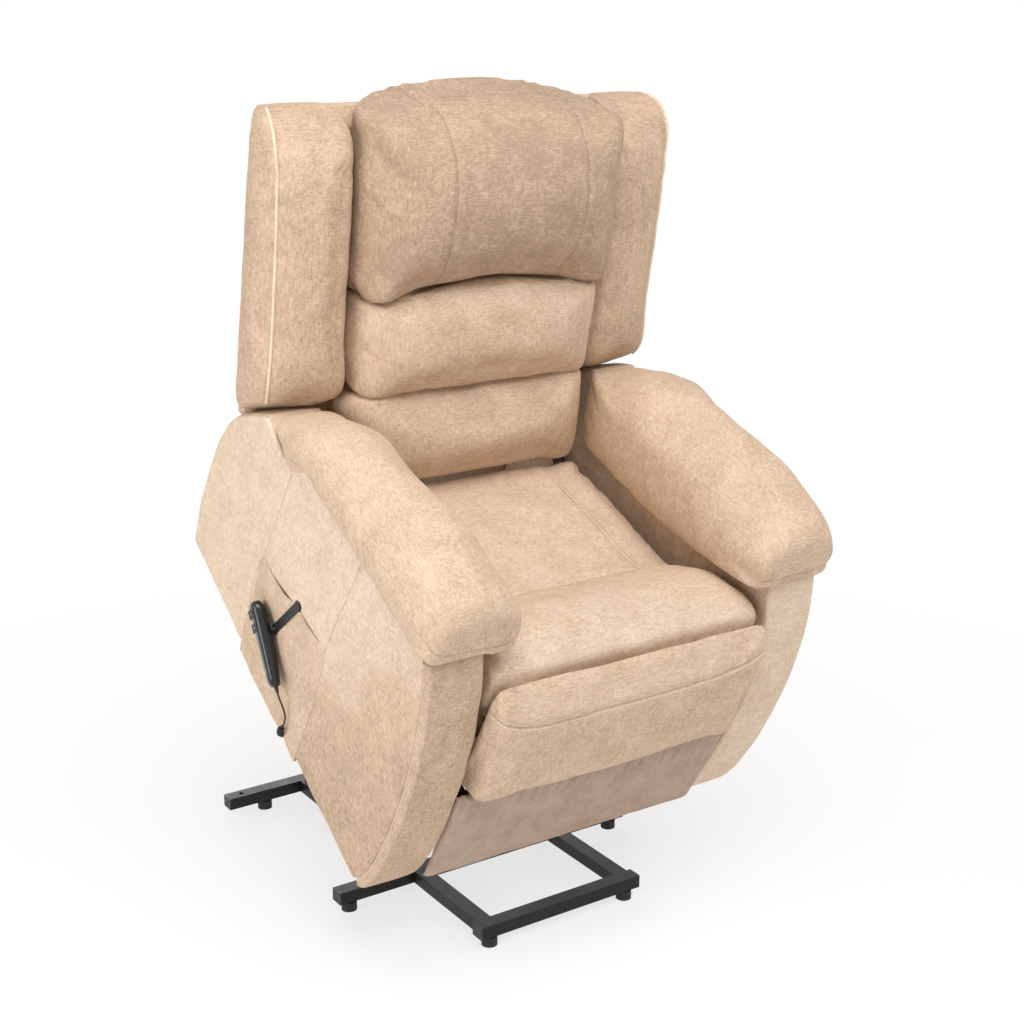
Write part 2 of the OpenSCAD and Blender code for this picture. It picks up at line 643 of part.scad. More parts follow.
// Ring across the pillow: height share above the underside, and place as a share of the reach
pad_outer_shares = [[0.93, 0.02], [1, 0.3], [0.98, 0.56], [0.8, 0.83], [0.5, 0.97]];
pad_inner_shares = [[-0.2, 0.985], [-0.62, 0.88], [-0.9, 0.66], [-1, 0.4]];
function pad_ring(s) =
    let (y = s[0] * body_depth, zb = s[1] * pad_top_z, zi = s[2] * pad_top_z, zt = s[3] * pad_top_z,
        xi = s[4] * pad_half_w, xo = s[5] * pad_half_w, wall = arm_in_x - gap - pad_x, h = zt - zb)
    concat([[pad_x + wall, y, zb], [pad_x + xo * 0.4, y, zb]],
        [for (q = pad_outer_shares) [pad_x + q[0] * xo, y, zb + q[1] * h]],
        [[pad_x + xo * 0.15, y, zt]],
        [for (q = pad_inner_shares) [pad_x - q[0] * xi, y, zb + q[1] * h]],
        [[pad_x + xi * 0.97, y, (zi + zb) / 2], [pad_x + xi * 0.86, y, zi + (zt - zi) * 0.04],
            [pad_x + (xi + wall) / 2, y, zi], [pad_x + wall, y, zi + (zt - zi) * 0.02]]);
module arm_pad(left) color("#cdb091") in_chair() sided(left)
    skin(backwards([for (s = pad_shares) pad_ring(s)]));

// Stations across a soft form, closer together at its ends
function stations(n) = [for (i = [0:n]) -cos(180 * i / n)];
edge_round = 0.12;

// Seat cushion profile as shares of its depth and thickness, from its rear top round the front
seat_front_y = -3.5;
seat_top_shares = [[1, 0.28], [0.985, 0.4], [0.94, 0.437], [0.8, 0.477], [0.65, 0.527], [0.5, 0.573],
    [0.4, 0.618], [0.355, 0.667], [0.31, 0.76], [0.245, 0.889], [0.17, 0.964], [0.1, 0.996],
    [0.05, 0.982], [0.02, 0.933], [0.004, 0.876], [0, 0.804], [0.001, 0.707], [0.006, 0.618],
    [0.012, 0.511], [0.03, 0.467], [0.036, 0.233], [0.04, 0.04], [0.07, 0], [0.5, 0], [0.94, 0],
    [0.985, 0.053], [1, 0.167]];
seat_seam_x = 171;
seat_seam_y = 209;
seat_seam_w = 9;
seat_crown = 12;
seat_seam_d = 5;
function seat_point(s, t) =
    let (x = t * seat_half_w, y = seat_front_y + s[0] * seat_depth,
        z = seat_front_z - seat_thick + s[1] * seat_thick, up = min(1, max(0, s[1] - 0.35) * 4),
        end = filled((1 - abs(t)) / edge_round), inner = 0.9 + 0.1 * end,
        mid_y = seat_front_y + seat_depth / 2, mid_z = seat_front_z - seat_thick / 2,
        crown = seat_crown * up * (cos(90 * t) - 0.3) * sin(180 * min(1, max(0, s[0]))),
        seam = seat_seam_d * up * (valley(abs(x), seat_seam_x, seat_seam_w) * (y > seat_seam_y ? 1 : 0.4)
            + valley(y, seat_seam_y, 2 * seat_seam_w)))
    [x, mid_y + (y - mid_y) * (0.97 + 0.03 * end),
        max(seat_bottom, mid_z + (z - mid_z) * inner + crown - seam)];
seat_stations_share = [-1, -0.985, -0.95, -0.88, -0.75, -0.66, -0.624, -0.585, -0.45, -0.2, 0,
    0.2, 0.45, 0.585, 0.624, 0.66, 0.75, 0.88, 0.95, 0.985, 1];
module seat_cushion() color("#cdb091") in_chair()
    skin([for (t = seat_stations_share) [for (s = seat_top_shares) seat_point(s, t)]]);

// Front skirt: cloth panel with small gathers at its upper edge, a board and two stays behind it
skirt_half_w = 283;
skirt_z = [28, 255];
skirt_y = -42;
skirt_t = 9;
skirt_gather = 1.6;
skirt_gathers = 16;
function skirt_ring(t) =
    let (fold = skirt_gather * (1 + cos(360 * skirt_gathers * t / 2)) / 2, x = t * skirt_half_w,
        z0 = skirt_z[0], z1 = skirt_z[1], end = filled((1 - abs(t)) / edge_round))
    [[x, skirt_y + skirt_t, z0], [x, skirt_y + skirt_t, z1], [x, skirt_y + skirt_t / 2 - fold * end, z1],
        [x, skirt_y + skirt_t / 3 - fold * end, z1 * 0.96 + z0 * 0.04],
        [x, skirt_y - skirt_t * 0.2 * end, (z0 + z1) / 2], [x, skirt_y + skirt_t / 3, z0 + skirt_t]];
skirt_board_y = skirt_y + skirt_t + gap;
skirt_board_margin = 18;
stay_w = 15;
module front_skirt() color("#b5a090") in_chair() {
    n = 3 * skirt_gathers;
    skin([for (i = [0:n]) skirt_ring(2 * i / n - 1)]);
    block(skirt_board_margin - skirt_half_w, skirt_board_y, skirt_z[0] + skirt_board_margin,
        [2 * (skirt_half_w - skirt_board_margin), board_t, skirt_z[1] - skirt_z[0] - 2 * skirt_board_margin]);
    both() block(frame_rail_x - tube_wall, skirt_board_y + board_t, cross_z,
        [stay_w, front_cross_y - skirt_board_y - board_t, frame_tube]);
}
// The rear panel stays under the path of the back's lower end
rear_panel_z = [100, 255];
module rear_panel() color("#cdb091") in_chair() block(-arm_in_x, body_depth - board_t, rear_panel_z[0],
    [2 * arm_in_x, board_t, rear_panel_z[1] - rear_panel_z[0]]);

// Backrest, in its own frame: Z runs up the back, Y points backward, from its lower rear edge
back_foot = [772, 439];
module in_back() { in_chair() translate([0, back_foot[0], back_foot[1]]) rotate([-back_lean, 0, 0]) children(); }
// A chair pivot in the backrest's own frame
function in_back_frame(p) = turned(p - back_foot, back_lean);
back_cover_d = 35.5;
back_rear_y = 2;
back_inset = 33;
back_cover_half = back_half_w - back_inset;
back_cover_t = 10;
crossbar_shares = [0.035, 0.5, 0.87];
back_corner = 45;
post_x = centre_half_w;
post_w = 23;
post_y = [-33, -8];
post_low = -60;
post_inset = 50;
post_z = [post_low, back_h - post_inset];
crossbar_h = 25;
corner_steps = 8;
function arc(c, r, a0) = [for (i = [0:corner_steps]) c + polar([r, a0 + 90 * i / corner_steps])];
module round_top(half, h, r) {
    polygon(concat([[-half, 0], [half, 0]], arc([half - r, h - r], r, 0), arc([r - half, h - r], r, 90)));
}
// Lower end of the back cover, between the arms
back_tail_half = 290;
back_tail_z = -50;
module back_cover() color("#cdb091") in_back() {
    block(-back_tail_half, back_rear_y - back_cover_t, back_tail_z,
        [2 * back_tail_half, back_cover_t, over - back_tail_z]);
    difference() {
        translate([0, back_rear_y, 0]) rotate([90, 0, 0]) linear_extrude(back_cover_d)
            round_top(back_cover_half, back_h - back_inset, back_corner);
        translate([0, back_rear_y - back_cover_t, -over]) rotate([90, 0, 0]) linear_extrude(back_cover_d)
            round_top(back_cover_half - back_cover_t, back_h - back_inset - back_cover_t + over,
                back_corner - back_cover_t);
    }
}
module back_frame() color("#b08d5e") in_back() {
    both() block(post_x, post_y[0], post_z[0], [post_w, post_y[1] - post_y[0], post_z[1] - post_z[0]]);
    for (share = crossbar_shares) block(-post_x, post_y[0], share * back_h,
        [2 * post_x, post_y[1] - post_y[0], crossbar_h]);
}
hinge_d = 34;
module back_brackets() color("#2a2a2a") in_back() both() plate(carrier_x, bracket_t) difference() {
    h = in_back_frame(back_hinge);
    t = in_back_frame(tail_pin);
    union() {
        dot(h, hinge_d);
        bar(h, t, flat_w);
        polygon([[post_y[0], crossbar_h], [post_y[1], crossbar_h], [post_y[1], post_z[0]],
            h + polar([hinge_d / 2, -60]), h + polar([hinge_d / 2, 120])]);
    }
    dot(h, bore);
    dot(t, rivet_bore);
}
// Wing: height share from the slanted lower end to the top, depth share and width share
wing_shares = [[0, 0.9, 0.86], [0.02, 0.98, 0.94], [0.08, 1.03, 1], [0.3, 1.01, 1], [0.58, 0.975, 1],
    [0.74, 0.935, 1], [0.87, 0.87, 0.99], [0.94, 0.77, 0.97], [0.985, 0.6, 0.91], [1, 0.4, 0.8]];
cushion_rear = back_cover_d - back_rear_y + gap / 2;
wing_slant = 80;
wing_lower = 20;
wing_h = back_h - wing_lower;
wing_corner = 5;
wing_points = 16;
wing_gap = 5.5;
wing_in_x = centre_half_w + wing_gap;
// How much deeper a wing's inner edge is than its middle
wing_inner_share = 0.125;
module wing(left) color("#cdb091") in_back() sided(left) skin(backwards([for (s = wing_shares)
    let (mid = (wing_in_x + back_half_w) / 2, half = (back_half_w - wing_in_x) / 2 * s[2])
    [for (p = round_box([mid - half, cushion_rear], [mid + half, s[1] * wing_depth], wing_corner, wing_points))
        let (low = max(0, p[1] / wing_depth) * wing_slant,
            deep = cushion_rear + (p[1] - cushion_rear) * (1 + wing_inner_share * (mid - p[0]) / half))
        [p[0], -deep, low + s[0] * (wing_h - low)]]]));

// Centre cushions: height share, depth share and width share of each ring
cushion_points = 24;
cushion_corner = 3.6;
lumbar_shares = [[0, 0.72, 0.95], [0.03, 0.8, 0.985], [0.1, 0.88, 1], [0.3, 0.97, 1], [0.55, 1, 1],
    [0.8, 0.97, 1], [0.93, 0.89, 1], [1, 0.82, 0.985]];
middle_shares = [[0, 0.83, 0.985], [0.06, 0.89, 1], [0.2, 0.96, 1], [0.5, 0.99, 1], [0.8, 0.95, 1],
    [0.94, 0.88, 1], [1, 0.815, 0.985]];
head_shares = [[0, 0.82, 0.985], [0.04, 0.89, 1], [0.12, 0.99, 1], [0.26, 1.065, 1], [0.42, 1.095, 1],
    [0.56, 1.095, 1], [0.74, 1.035, 0.995], [0.86, 0.95, 0.985], [0.94, 0.86, 0.965], [0.98, 0.76, 0.93],
    [1, 0.6, 0.87]];
lumbar_low = -110;
lumbar_top = 85;
middle_top = 264;
middle_arch = 33;
head_arch = 30;
lumbar_heel = 26;
seam_gap = 0.4;
// Cushion from height z0 to z1 whose ends rise by arch0 and arch1 in the middle
module back_cushion(shares, z0, z1, arch0, arch1, heel) skin(backwards([for (s = shares)
    let (half = centre_half_w * s[2], rear = cushion_rear + heel * pow(1 - s[0], 3))
    [for (p = round_box([-half, rear], [half, s[1] * centre_depth], cushion_corner, cushion_points))
        let (rise = 1 - pow(p[0] / half, 2), low = z0 + arch0 * rise, high = z1 + arch1 * rise)
        [p[0], -p[1], low + s[0] * (high - low)]]]));
module lumbar_cushion() color("#cdb091") in_back()
    back_cushion(lumbar_shares, lumbar_low, lumbar_top, 0, 0, lumbar_heel);
module middle_cushion() color("#cdb091") in_back()
    back_cushion(middle_shares, lumbar_top + seam_gap, middle_top, 0, middle_arch, 0);
module head_cushion() color("#cdb091") in_back()
    back_cushion(head_shares, middle_top + seam_gap, back_h - head_arch / 2, middle_arch, head_arch, 0);

// Legrest
module rocker_plate(p, q, lobe_root, lobe) {
    difference() {
        union() {
            bar(p, q, flat_w);
            bar(lobe_root, lobe, flat_w);
        }
        for (at = [p, q, lobe]) dot(at, rivet_bore);
    }
}
module legrest_drive() color("#2a2a2a") in_chair() {
    both() plate(rocker_x, flat_t) rocker_plate(drive_pivot, drive_end, drive_end, rocker_pin);
    rod_x(drive_pivot, -rocker_x - flat_t, 2 * (rocker_x + flat_t), drive_tube_d);
    slot = [for (r = [lever_shut, drive_pin_rise]) drive_pivot + polar([r, lever_start])];
    translate([-recline_x, 0, 0]) both() plate(lug_x, bracket_t) difference() {
        bar(drive_pivot, slot[0], drive_tube_d + bracket_t);
        bar(slot[0], slot[1], bolt_d + lever_slot_play);
    }
}
module legrest_rear_rockers() color("#2a2a2a") in_chair() both() plate(rocker_x, flat_t)
    rocker_plate(rear_rocker_pivot, rear_end, rear_rocker_pivot, rear_pin);
module legrest_carriers() color("#2a2a2a") in_chair() both() {
    plate(carrier_x, flat_t) difference() {
        union() {
            bar(rear_end, drive_end, flat_w);
            bar(drive_end, leg_pivot, flat_w);
        }
        for (p = [rear_end, drive_end, leg_pivot]) dot(p, rivet_bore);
    }
    for (p = [rear_end, drive_end, leg_pivot])
        rivet(p, carrier_x - fit, rocker_x + flat_t + 2 * fit - carrier_x);
}
rivet_loose = rivet_d + 2 * thin_gap;
module legrest_control_links() color("#2a2a2a") in_chair() both() {
    plate(control_x, flat_t) link(rocker_pin, leg_pin, flat_w, rivet_bore, rivet_loose);
    rivet(rocker_pin, rocker_x - fit, control_x + flat_t + 2 * fit - rocker_x);
}
module tail_link() color("#2a2a2a") in_chair() both() {
    plate(control_x, flat_t) link(rear_pin, tail_pin, flat_w, rivet_bore, rivet_loose);
    rivet(rear_pin, rocker_x - fit, control_x + flat_t + 2 * fit - rocker_x);
}
leg_board_y = -5;
leg_board_half = 280;
leg_pad_low = 262;
leg_board_margin = 120;
leg_board_h = leg_pad_h - leg_board_margin;
arm_step = 22;
module legrest_board() color("#b08d5e") in_chair()
    block(-leg_board_half, leg_board_y, leg_pad_low, [2 * leg_board_half, board_t, leg_board_h]);
module legrest_brackets() color("#2a2a2a") in_chair() both() {
    mid = leg_board_y + board_t / 2;
    low = leg_pivot[1] + arm_step;
    high = leg_pad_low + leg_board_h - board_t;
    block(leg_board_half, leg_board_y, low, [rocker_x - leg_board_half, board_t, high - low]);
    plate(rocker_x, flat_t) difference() {
        union() {
            bar(leg_pivot, leg_pin, flat_w);
            bar(leg_pivot, [mid, low + board_t], flat_w);
            bar([mid, low + board_t], [mid, high - board_t / 2], board_t);
        }
        for (p = [leg_pivot, leg_pin]) dot(p, rivet_bore);
    }
    rivet(leg_pin, rocker_x - fit, control_x + flat_t + 2 * fit - rocker_x);
}
// Pad section as shares of its thickness and height, from its rear bottom round by its top
leg_pad_shares = [[0, 0.03], [0, 0.3], [0, 0.68], [0.03, 0.79], [0.13, 0.9], [0.32, 0.975], [0.56, 0.985],
    [0.78, 0.925], [0.93, 0.79], [0.985, 0.55], [1, 0.3], [0.95, 0.12], [0.78, 0.02], [0.45, 0], [0.1, 0]];
leg_pad_crown = 7;
module legrest_pad() color("#cdb091") in_chair() skin([for (t = stations(14))
    let (end = filled((1 - abs(t)) / edge_round), draw = (1 - end) * leg_pad_t / 5,
        thick = leg_pad_t - leg_pad_crown * (1 - cos(60 * t)) * 2 - draw)
    [for (p = backwards(leg_pad_shares)) [t * (leg_board_half - side_gap / 2),
        leg_board_y - gap - p[0] * thick, leg_pad_low + draw + p[1] * (leg_pad_h - 2 * draw)]]]);

// Handset on its hook, with four buttons, at the right side pocket
handset_at = [-429.5, 430, 175];
handset_turn = 14;
handset_tilt = 57.3;
handset_edge = 9;
handset_taper = 0.8;
relief_l = 11;
relief_d = [6, 9];
module in_handset() {
    in_chair() translate(handset_at) rotate([-handset_tilt, 0, 0]) rotate([0, 0, -handset_turn]) children();
}
button_shares = [[0.24, 0.36], [-0.24, 0.36], [0.24, 0.2], [-0.24, 0.2]];
button_size = [7, 11, 16];
button_gap = 0.3;
button_rise = 2;
module button_block(i, grow, x0, x1) {
    c = [button_shares[i][0] * handset_w, button_shares[i][1] * handset_l];
    translate([x0, c[0] - button_size[1] / 2 - grow, c[1] - button_size[2] / 2 - grow])
        cube([x1 - x0, button_size[1] + 2 * grow, button_size[2] + 2 * grow]);
}
module handset() color("#161616") in_handset() {
    r = handset_edge;
    difference() {
        hull() for (y = [-1, 1]) {
            for (x = [-1, 1]) translate([x * (handset_t / 2 - r), y * (handset_w / 2 - r), handset_l / 2 - r])
                sphere(r);
            for (x = [-1, 1])
                translate([x * (handset_t / 2 - r), y * (handset_w / 2 * handset_taper - r), r - handset_l / 2])
                sphere(r);
        }
        for (i = [0:3])
            button_block(i, button_gap, -handset_t / 2 - over, -handset_t / 2 + button_size[0] - button_rise);
    }
    // Strain relief
    translate([0, 0, -handset_l / 2 - relief_l]) cylinder(d1 = relief_d[0], d2 = relief_d[1], h = relief_l + over);
}
module button(i) color("#3a3a3a") in_handset() button_block(i, 0, -handset_t / 2 - button_rise,
    -handset_t / 2 + button_size[0] - button_rise - button_travel - button_gap);

// Hook: strap from the handset's back over the pocket mouth and down inside it
strap_w = 18;
strap_t = 4.5;
strap_foot = [438, 202];
strap_top = [392, 312];
strap_lip = 2.5;
boss_at = [-11.5, 22];
boss_l = 10;
module handset_hook() color("#161616") {
    in_chair() mirror([1, 0, 0]) {
        plate(arm_out_x + gap, strap_t) bar(strap_foot, strap_top, strap_w);
        room_x = arm_out_x - pocket_flap_t - pocket_room;
        block(room_x + gap, strap_top[0] - strap_w / 2, pocket_mouth_z + gap,
            [arm_out_x + gap + strap_t - room_x - gap, strap_w, mouth_h - 2 * gap]);
        block(room_x + gap, strap_top[0] - strap_w / 2, pocket_mouth_z - strap_w,
            [strap_lip, strap_w, strap_w + 2 * gap]);
    }
    in_handset() translate([handset_t / 2, boss_at[0], boss_at[1]]) rotate([0, 90, 0])
        cylinder(d = strap_w / 2, h = boss_l);
}
// Control box outside the right frame rail
box_at = [frame_rail_x + gap / 2, 380, 62];
box_size = [40, 80, 38];
module control_box() color("#1f1f1f") in_chair() mirror([1, 0, 0])
    block(box_at[0], box_at[1], box_at[2], box_size);

// Handset cord: route from the strain relief to the control box, and the stretch of it that is curly
cord_route = [[-429.5, 353.3, 125.7], [-429.5, 350, 123.6], [-427, 341, 115], [-422, 331, 101], [-419, 325, 88],
    [-418, 323, 76], [-418, 324, 62], [-419, 327, 46], [-413, 331, 29], [-398, 334, 18], [-376, 337, 14],
    [-350, 341, 14], [-320, 346, 17], [-295, 354, 24], [-276, 368, 38], [-263, 386, 60], [-255, 398, 76],
    [-250, 400, 80], [-245.5, 400, 80]];
curly_share = [0.24, 0.7];
curl_n = 28;
curl_rings = 8;
curl_sides = 6;
plain_steps = 26;
function spline(p, t) =
    let (i = min(len(p) - 2, floor(t)), f = t - i, a = p[max(0, i - 1)], b = p[i], c = p[i + 1],
        d = p[min(len(p) - 1, i + 2)])
    b + f * (c - a) / 2 + f * f * (2 * a - 5 * b + 4 * c - d) / 2 + f * f * f * (3 * b - 3 * c + d - a) / 2;
function running(p, i = 0, at = 0) = i == len(p) - 1 ? [at] : concat([at], running(p, i + 1, at + norm(p[i + 1] - p[i])));
route_steps = 10;
route_points = [for (i = [0:(len(cord_route) - 1) * route_steps]) spline(cord_route, i / route_steps)];
route_at = running(route_points);
route_len = route_at[len(route_at) - 1];
route_tables = [for (k = [0:2]) [for (i = [0:len(route_at) - 1]) [route_at[i], route_points[i][k]]]];
function centre(s) = [for (table = route_tables) lookup(s, table)];
curly = curly_share * route_len;
function side_of(s) =
    let (t = unit(centre(min(route_len, s + 1)) - centre(max(0, s - 1))), a = unit(cross(t, [0, 1, 0])))
    [a, cross(t, a)];
function turn_at(s) = 360 * curl_n * min(1, max(0, (s - curly[0]) / (curly[1] - curly[0])));
pitch = (curly[1] - curly[0]) / curl_n;
function reach_at(s) = (curl_d - cord_d) / 2 * min(1, max(0, min(s - curly[0], curly[1] - s) / pitch));
function radial(s) = let (f = side_of(s), a = turn_at(s)) f[0] * cos(a) + f[1] * sin(a);
cord_stops = concat(
    [0, cord_d], [for (i = [2:plain_steps / 2]) curly[0] * i / (plain_steps / 2 + 1)],
    [for (i = [0:curl_n * curl_rings]) curly[0] + i * pitch / curl_rings],
    [for (i = [1:plain_steps / 2]) curly[1] + (route_len - cord_d - curly[1]) * i / (plain_steps / 2)],
    [route_len]);
cord_line = [for (s = cord_stops) centre(s) + reach_at(s) * radial(s)];
function cord_ring(i) =
    let (n = len(cord_line), t = unit(cord_line[min(n - 1, i + 1)] - cord_line[max(0, i - 1)]),
        e = radial(cord_stops[i]), u = unit(e - (e * t) * t), v = cross(t, u))
    [for (j = [0:curl_sides - 1]) cord_line[i] + cord_d / 2
        * (cos(360 * j / curl_sides) * u + sin(360 * j / curl_sides) * v)];
module handset_cord() {
    n = len(cord_line);
    away = curl_rings - 2;
    echo("least gap of the cord to itself", min([for (i = [0:n - away - 1], j = [i + away:n - 1])
        norm(cord_line[i] - cord_line[j])]) - cord_d, "length", running(cord_line)[n - 1], "route", route_len);
    color("#141414") in_chair() skin([for (i = [0:n - 1]) cord_ring(i)]);
}

base_rear_bar();
base_middle_bar();
base_front_bar();
base_rails();
tube_end_caps();
feet();
base_link_brackets();
lift_motor_clevis();
base_pivot_bolts();
lift_arm(true);  // lift_arm_left
lift_arm(false);  // lift_arm_right
lift_arm_tube();
front_links();
frame_rails();
frame_cross_tubes();
frame_link_brackets();
frame_pivot_bolts();
lift_motor();
lift_motor_rod();
recline_motor();
recline_motor_rod();
mechanism_plates();
seat_frame();
seat_springs();
seat_cushion();
arm_box(true);  // arm_box_left
arm_box(false);  // arm_box_right
side_cover(true);  // side_cover_left
side_cover(false);  // side_cover_right
side_pocket();
arm_front(true);  // arm_front_left
arm_front(false);  // arm_front_right
arm_pad(true);  // arm_pad_left
arm_pad(false);  // arm_pad_right
front_skirt();
rear_panel();
back_frame();
back_brackets();
back_cover();
wing(true);  // wing_left
wing(false);  // wing_right
head_cushion();
middle_cushion();
lumbar_cushion();
legrest_drive();
legrest_rear_rockers();
legrest_carriers();
legrest_control_links();
legrest_brackets();
legrest_board();
legrest_pad();
tail_link();
control_box();
handset();
button(0);  // button_lift_up
button(1);  // button_lift_down
button(2);  // button_recline
button(3);  // button_upright
handset_hook();
handset_cord();
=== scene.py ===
import math
import bmesh
import bpy
import numpy as np
from mathutils import Matrix, Vector
from mathutils.bvhtree import BVHTree


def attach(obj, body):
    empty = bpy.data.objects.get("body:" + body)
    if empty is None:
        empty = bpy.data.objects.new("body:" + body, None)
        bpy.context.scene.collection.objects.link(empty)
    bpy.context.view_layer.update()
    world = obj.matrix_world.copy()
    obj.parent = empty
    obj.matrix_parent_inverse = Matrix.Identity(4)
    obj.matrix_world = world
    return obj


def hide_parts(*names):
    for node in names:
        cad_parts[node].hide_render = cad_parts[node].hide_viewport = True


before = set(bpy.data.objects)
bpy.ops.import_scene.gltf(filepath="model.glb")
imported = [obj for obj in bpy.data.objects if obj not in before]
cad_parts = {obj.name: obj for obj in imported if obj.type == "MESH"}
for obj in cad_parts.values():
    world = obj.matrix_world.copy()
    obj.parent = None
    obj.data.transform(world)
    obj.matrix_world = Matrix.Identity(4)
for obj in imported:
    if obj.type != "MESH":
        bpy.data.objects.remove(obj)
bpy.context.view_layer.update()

mm = 0.001

# Camera at the photograph's viewing angle: it looks along -back, with the picture's centre shifted by across and up
cameraSettings = {"lens": 60.57, "sensor": 36, "azimuth": -33.8958, "elevation": 16.698, "roll": 0.2048,
                  "distance": 3.4616, "across": 0.0524, "up": 0.7102, "middle": 0.015}


def placeCamera(c):
    a, e, r = (math.radians(c[k]) for k in ("azimuth", "elevation", "roll"))
    back = Vector((math.sin(a) * math.cos(e), -math.cos(a) * math.cos(e), math.sin(e)))
    right = Vector((math.cos(a), math.sin(a), 0))
    up = back.cross(right)
    spot = back * c["distance"] + right * c["across"] + up * c["up"] + Vector((0, c["middle"], 0))
    across, over = right * math.cos(r) + up * math.sin(r), up * math.cos(r) - right * math.sin(r)
    data = bpy.data.cameras.new("photoCamera")
    data.lens, data.sensor_width, data.clip_end = c["lens"], c["sensor"], 60
    holder = bpy.data.objects.new("photoCamera", data)
    holder.matrix_world = Matrix((across, over, back)).transposed().to_4x4()
    holder.matrix_world.translation = spot
    bpy.context.collection.objects.link(holder)
    bpy.context.scene.camera = holder


placeCamera(cameraSettings)
print("camera placed")

# The chair is laid out level, in millimetres: across, back, up. These matrices stand it as it is in the model.
chairFrame = {"tip": 30, "back": -202, "up": 178}
backFrame = {"tip": -17.7, "back": 772, "up": 439}
handsetFrame = {"at": (-429.5, 430, 175), "tilt": -57.3, "turn": -14}


def turned(axis, degrees):
    return Matrix.Rotation(math.radians(degrees), 4, axis)


def stood(f):
    return Matrix.Translation((0, f["back"] * mm, f["up"] * mm)) @ turned("X", f["tip"])


inChair = stood(chairFrame)
inBack = inChair @ stood(backFrame)
inHandset = inChair @ Matrix.Translation(Vector(handsetFrame["at"]) * mm)
inHandset = inHandset @ turned("X", handsetFrame["tilt"]) @ turned("Z", handsetFrame["turn"])


# Shapes

def signedRoot(value, power):
    return np.sign(value) * np.abs(value) ** power


def filledOut(share):
    # How far a stuffed edge has filled out: a quarter circle from 0 at the end to 1 at full thickness
    return np.sqrt(1 - (1 - np.clip(share, 0, 1)) ** 2)


def valley(value, centre, width):
    # A bell of unit height round centre
    return np.exp(-(((value - centre) / width) ** 2))


def smoothStep(value, low, high):
    share = np.clip((value - low) / (high - low), 0, 1)
    return share * share * (3 - 2 * share)


def smoothRow(knots, count, closed=False):
    # Catmull-Rom curve through knots, count points evenly spread over them
    knots = np.asarray(knots, float)
    spans = len(knots) if closed else len(knots) - 1
    at = np.linspace(0, spans, count, endpoint=not closed)
    low = np.minimum(np.floor(at).astype(int), spans - 1)
    share = (at - low)[:, None]
    pick = [(low + k) % len(knots) if closed else np.clip(low + k, 0, len(knots) - 1) for k in (-1, 0, 1, 2)]
    a, b, c, d = (knots[i] for i in pick)
    return b + share * ((c - a) + share * ((2 * a - 5 * b + 4 * c - d) + share * (3 * b - 3 * c + d - a))) / 2


def roundBox(low, high, corner, count):
    # Superellipse between two opposite corners, with one extra axis for each ring
    turn = 2 * np.pi * (np.arange(count) + 0.5) / count
    shares = signedRoot(np.cos(turn), 2 / corner), signedRoot(np.sin(turn), 2 / corner)
    return [(low[k] + high[k]) / 2 + shares[k] * (high[k] - low[k]) / 2 for k in (0, 1)]


def crowdedAtEnds(count):
    # Shares from 0 to 1, closer together at both ends
    return (1 - np.cos(np.linspace(0, math.pi, count))) / 2


def layered(x, y, z):
    # Grid of points from coordinates that may each run one way only
    return np.stack(np.broadcast_arrays(x, y, z), -1)


def nearest(*distances):
    return np.minimum.reduce(np.broadcast_arrays(*distances))


def loft(rings):
    # Closed skin over rings of equal length, with a point in the middle of each end
    rings = np.asarray(rings, float)
    m, n = rings.shape[:2]
    index = np.arange(m * n).reshape(m, n)
    after = np.roll(index, -1, 1)
    sides = np.stack([index[:-1], after[:-1], after[1:], index[1:]], -1).reshape(-1, 4).tolist()
    caps = [[int(a), int(b), m * n] for a, b in zip(after[0], index[0])]
    caps += [[int(a), int(b), m * n + 1] for a, b in zip(index[-1], after[-1])]
    points = np.vstack([rings.reshape(-1, 3), rings[0].mean(0), rings[-1].mean(0)])
    return points, sides + caps


def gridFaces(index):
    return np.stack([index[:-1, :-1], index[1:, :-1], index[1:, 1:], index[:-1, 1:]], -1).reshape(-1, 4).tolist()


def backed(grid, shift):
    # Closed slab: a grid's own surface, a wall round its border, and one flat face behind it
    m, n = grid.shape[:2]
    index = np.arange(m * n).reshape(m, n)
    border = np.concatenate([index[:-1, 0], index[-1, :-1], index[:0:-1, -1], index[0, :0:-1]])
    behind = m * n + np.arange(len(border))
    wall = np.stack([border, behind, np.roll(behind, -1), np.roll(border, -1)], -1).tolist()
    points = np.vstack([grid.reshape(-1, 3), grid.reshape(-1, 3)[border] + shift])
    return points, gridFaces(index) + wall + [behind.tolist()]


def addPiece(name, points, faces):
    # New object from points in millimetres; its normals are made to point outwards
    mesh = bpy.data.meshes.new(name)
    mesh.from_pydata((np.asarray(points) * mm).tolist(), [], faces)
    made = bmesh.new()
    made.from_mesh(mesh)
    bmesh.ops.remove_doubles(made, verts=made.verts, dist=1e-6)
    bmesh.ops.recalc_face_normals(made, faces=made.faces)
    made.to_mesh(mesh)
    made.free()
    mesh.shade_smooth()
    piece = bpy.data.objects.new(name, mesh)
    bpy.context.collection.objects.link(piece)
    return piece


def joinedPiece(name, parts):
    # One object from several closed skins
    points, faces, start = [], [], 0
    for partPoints, partFaces in parts:
        points.append(partPoints)
        faces += [[v + start for v in face] for face in partFaces]
        start += len(partPoints)
    return addPiece(name, np.vstack(points), faces)


def rowsOf(rows, key):
    flat = np.empty(len(rows) * 3)
    rows.foreach_get(key, flat)
    return flat.reshape(-1, 3)


def surfaceOf(mesh):
    # Points in millimetres, and their normals
    return rowsOf(mesh.vertices, "co") / mm, rowsOf(mesh.vertex_normals, "vector")


def setPoints(mesh, points):
    mesh.vertices.foreach_set("co", np.ascontiguousarray(points * mm).ravel())
    mesh.update()


